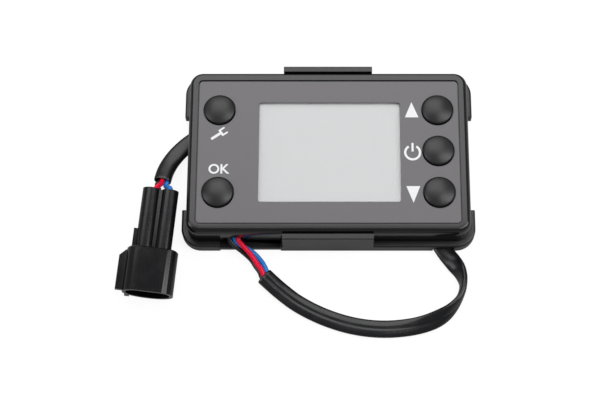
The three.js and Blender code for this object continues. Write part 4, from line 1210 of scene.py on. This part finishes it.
def makeWordSign():
    curve = bpy.data.curves.new("okText", "FONT")
    curve.body = "OK"
    curve.align_x = "CENTER"
    curve.align_y = "CENTER"
    curve.offset = wordSign["bold"]
    curve.extrude = 0.002
    text = bpy.data.objects.new("okText", curve)
    bpy.context.scene.collection.objects.link(text)
    mesh = evaluatedMesh(text)
    bpy.data.objects.remove(text)
    low, high = (Vector([pick(vert.co[i] for vert in mesh.vertices) for i in range(3)])
                 for pick in (min, max))
    size = wordSign["height"] / (high.y - low.y)
    thick = signLook["thick"]
    place = (*wordSign["place"], overlayHigh.z + signLook["lift"] + thick / 2)
    mesh.transform(Matrix.Translation(-(low + high) / 2))
    mesh.transform(Matrix.Diagonal((size, size, thick / (high.z - low.z), 1)))
    mesh.transform(Matrix.Translation(place))
    piece = bpy.data.objects.new("signOk", mesh)
    bpy.context.scene.collection.objects.link(piece)
    finishSign(piece)


for name, look in arrowSigns.items():
    makeArrow(name, look)
makePowerSign()
makeSpannerSign()
makeWordSign()
print("signs printed")


# the pieces that stay as they are, by finish
kept = {
    "whitePlastic": ["lcd_backlight", *(f"plunger_{name}" for name in keyPlaces)],
    "boardGreen": ["circuit_board"],
    "chipBlack": ["mcu_chip", "regulator_chip", "memory_chip",
                  *(f"switch_{name}" for name in keyPlaces)],
    "pinBrass": ["pin_left", "pin_right", "pin_lower"],
    "screwSteel": [f"housing_screw_{number}" for number in range(1, 5)],
}
for finish, names in kept.items():
    for name in names:
        nodes[name].material_slots[0].material = finishes[finish]
print("kept pieces finished")


stageLook = {"size": 6, "drop": 0.00002, "floorColour": 0.4, "glow": 1.45, "share": 0.62,
             "mirrored": 0.12, "sky": 0.18}


def backgroundSeen(tree):
    # how much of the white background a ray sees: all from the camera, some in gloss and glass
    rays = tree.nodes.new("ShaderNodeLightPath").outputs
    bounced = addMath(tree, "MAXIMUM", rays["Is Glossy Ray"], rays["Is Transmission Ray"])
    bounced = addMath(tree, "MULTIPLY", bounced, stageLook["mirrored"])
    return addMath(tree, "MAXIMUM", rays["Is Camera Ray"], bounced)


def makeFloor():
    bm = bmesh.new()
    made = bmesh.ops.create_grid(bm, x_segments=1, y_segments=1, size=stageLook["size"])["verts"]
    bmesh.ops.translate(bm, vec=(0, 0, -stageLook["drop"]), verts=made)
    floor = addObject(bm, "floor")
    material, tree, shader = startMaterial("floorWhite")
    shader.inputs["Base Color"].default_value = (*[stageLook["floorColour"]] * 3, 1)
    shader.inputs["Roughness"].default_value = 0.9
    shader.inputs["Specular IOR Level"].default_value = 0.1
    glow = tree.nodes.new("ShaderNodeEmission")
    glow.inputs["Strength"].default_value = stageLook["glow"]
    seen = addMath(tree, "MULTIPLY", backgroundSeen(tree), stageLook["share"])
    mixShaders(tree, seen, shader, glow)
    floor.data.materials.append(material)


def makeWorld():
    world = bpy.data.worlds.new("studio")
    world.use_nodes = True
    tree = world.node_tree
    background = tree.nodes["Background"]
    background.inputs["Color"].default_value = (1, 1, 1, 1)
    extra = addMath(tree, "MULTIPLY", backgroundSeen(tree), 1 - stageLook["sky"])
    strength = addMath(tree, "ADD", extra, stageLook["sky"])
    tree.links.new(strength, background.inputs["Strength"])
    bpy.context.scene.world = world


lamps = {
    # place, point it looks at, size across and up, power in watts
    "overhead": ((-0.1, 0.58, 0.75), (-0.1, 0.33, 0), (0.75, 0.76), 4.8),
    "left": ((-0.68, -0.1, 0.5), (0, 0, 0), (0.3, 0.7), 2),
    "right": ((0.46, -0.05, 0.64), (0, 0, 0), (0.3, 0.7), 3.2),
}


def makeLamps():
    for name, (place, target, size, power) in lamps.items():
        data = bpy.data.lights.new(name, "AREA")
        data.shape = "RECTANGLE"
        data.size, data.size_y = size
        data.energy = power
        lamp = bpy.data.objects.new(name, data)
        lamp.location = place
        lamp.rotation_euler = (Vector(place) - Vector(target)).to_track_quat("Z", "Y").to_euler()
        bpy.context.scene.collection.objects.link(lamp)


makeFloor()
makeWorld()
makeLamps()
bpy.context.scene.view_settings.view_transform = "Standard"
print("stage lit")
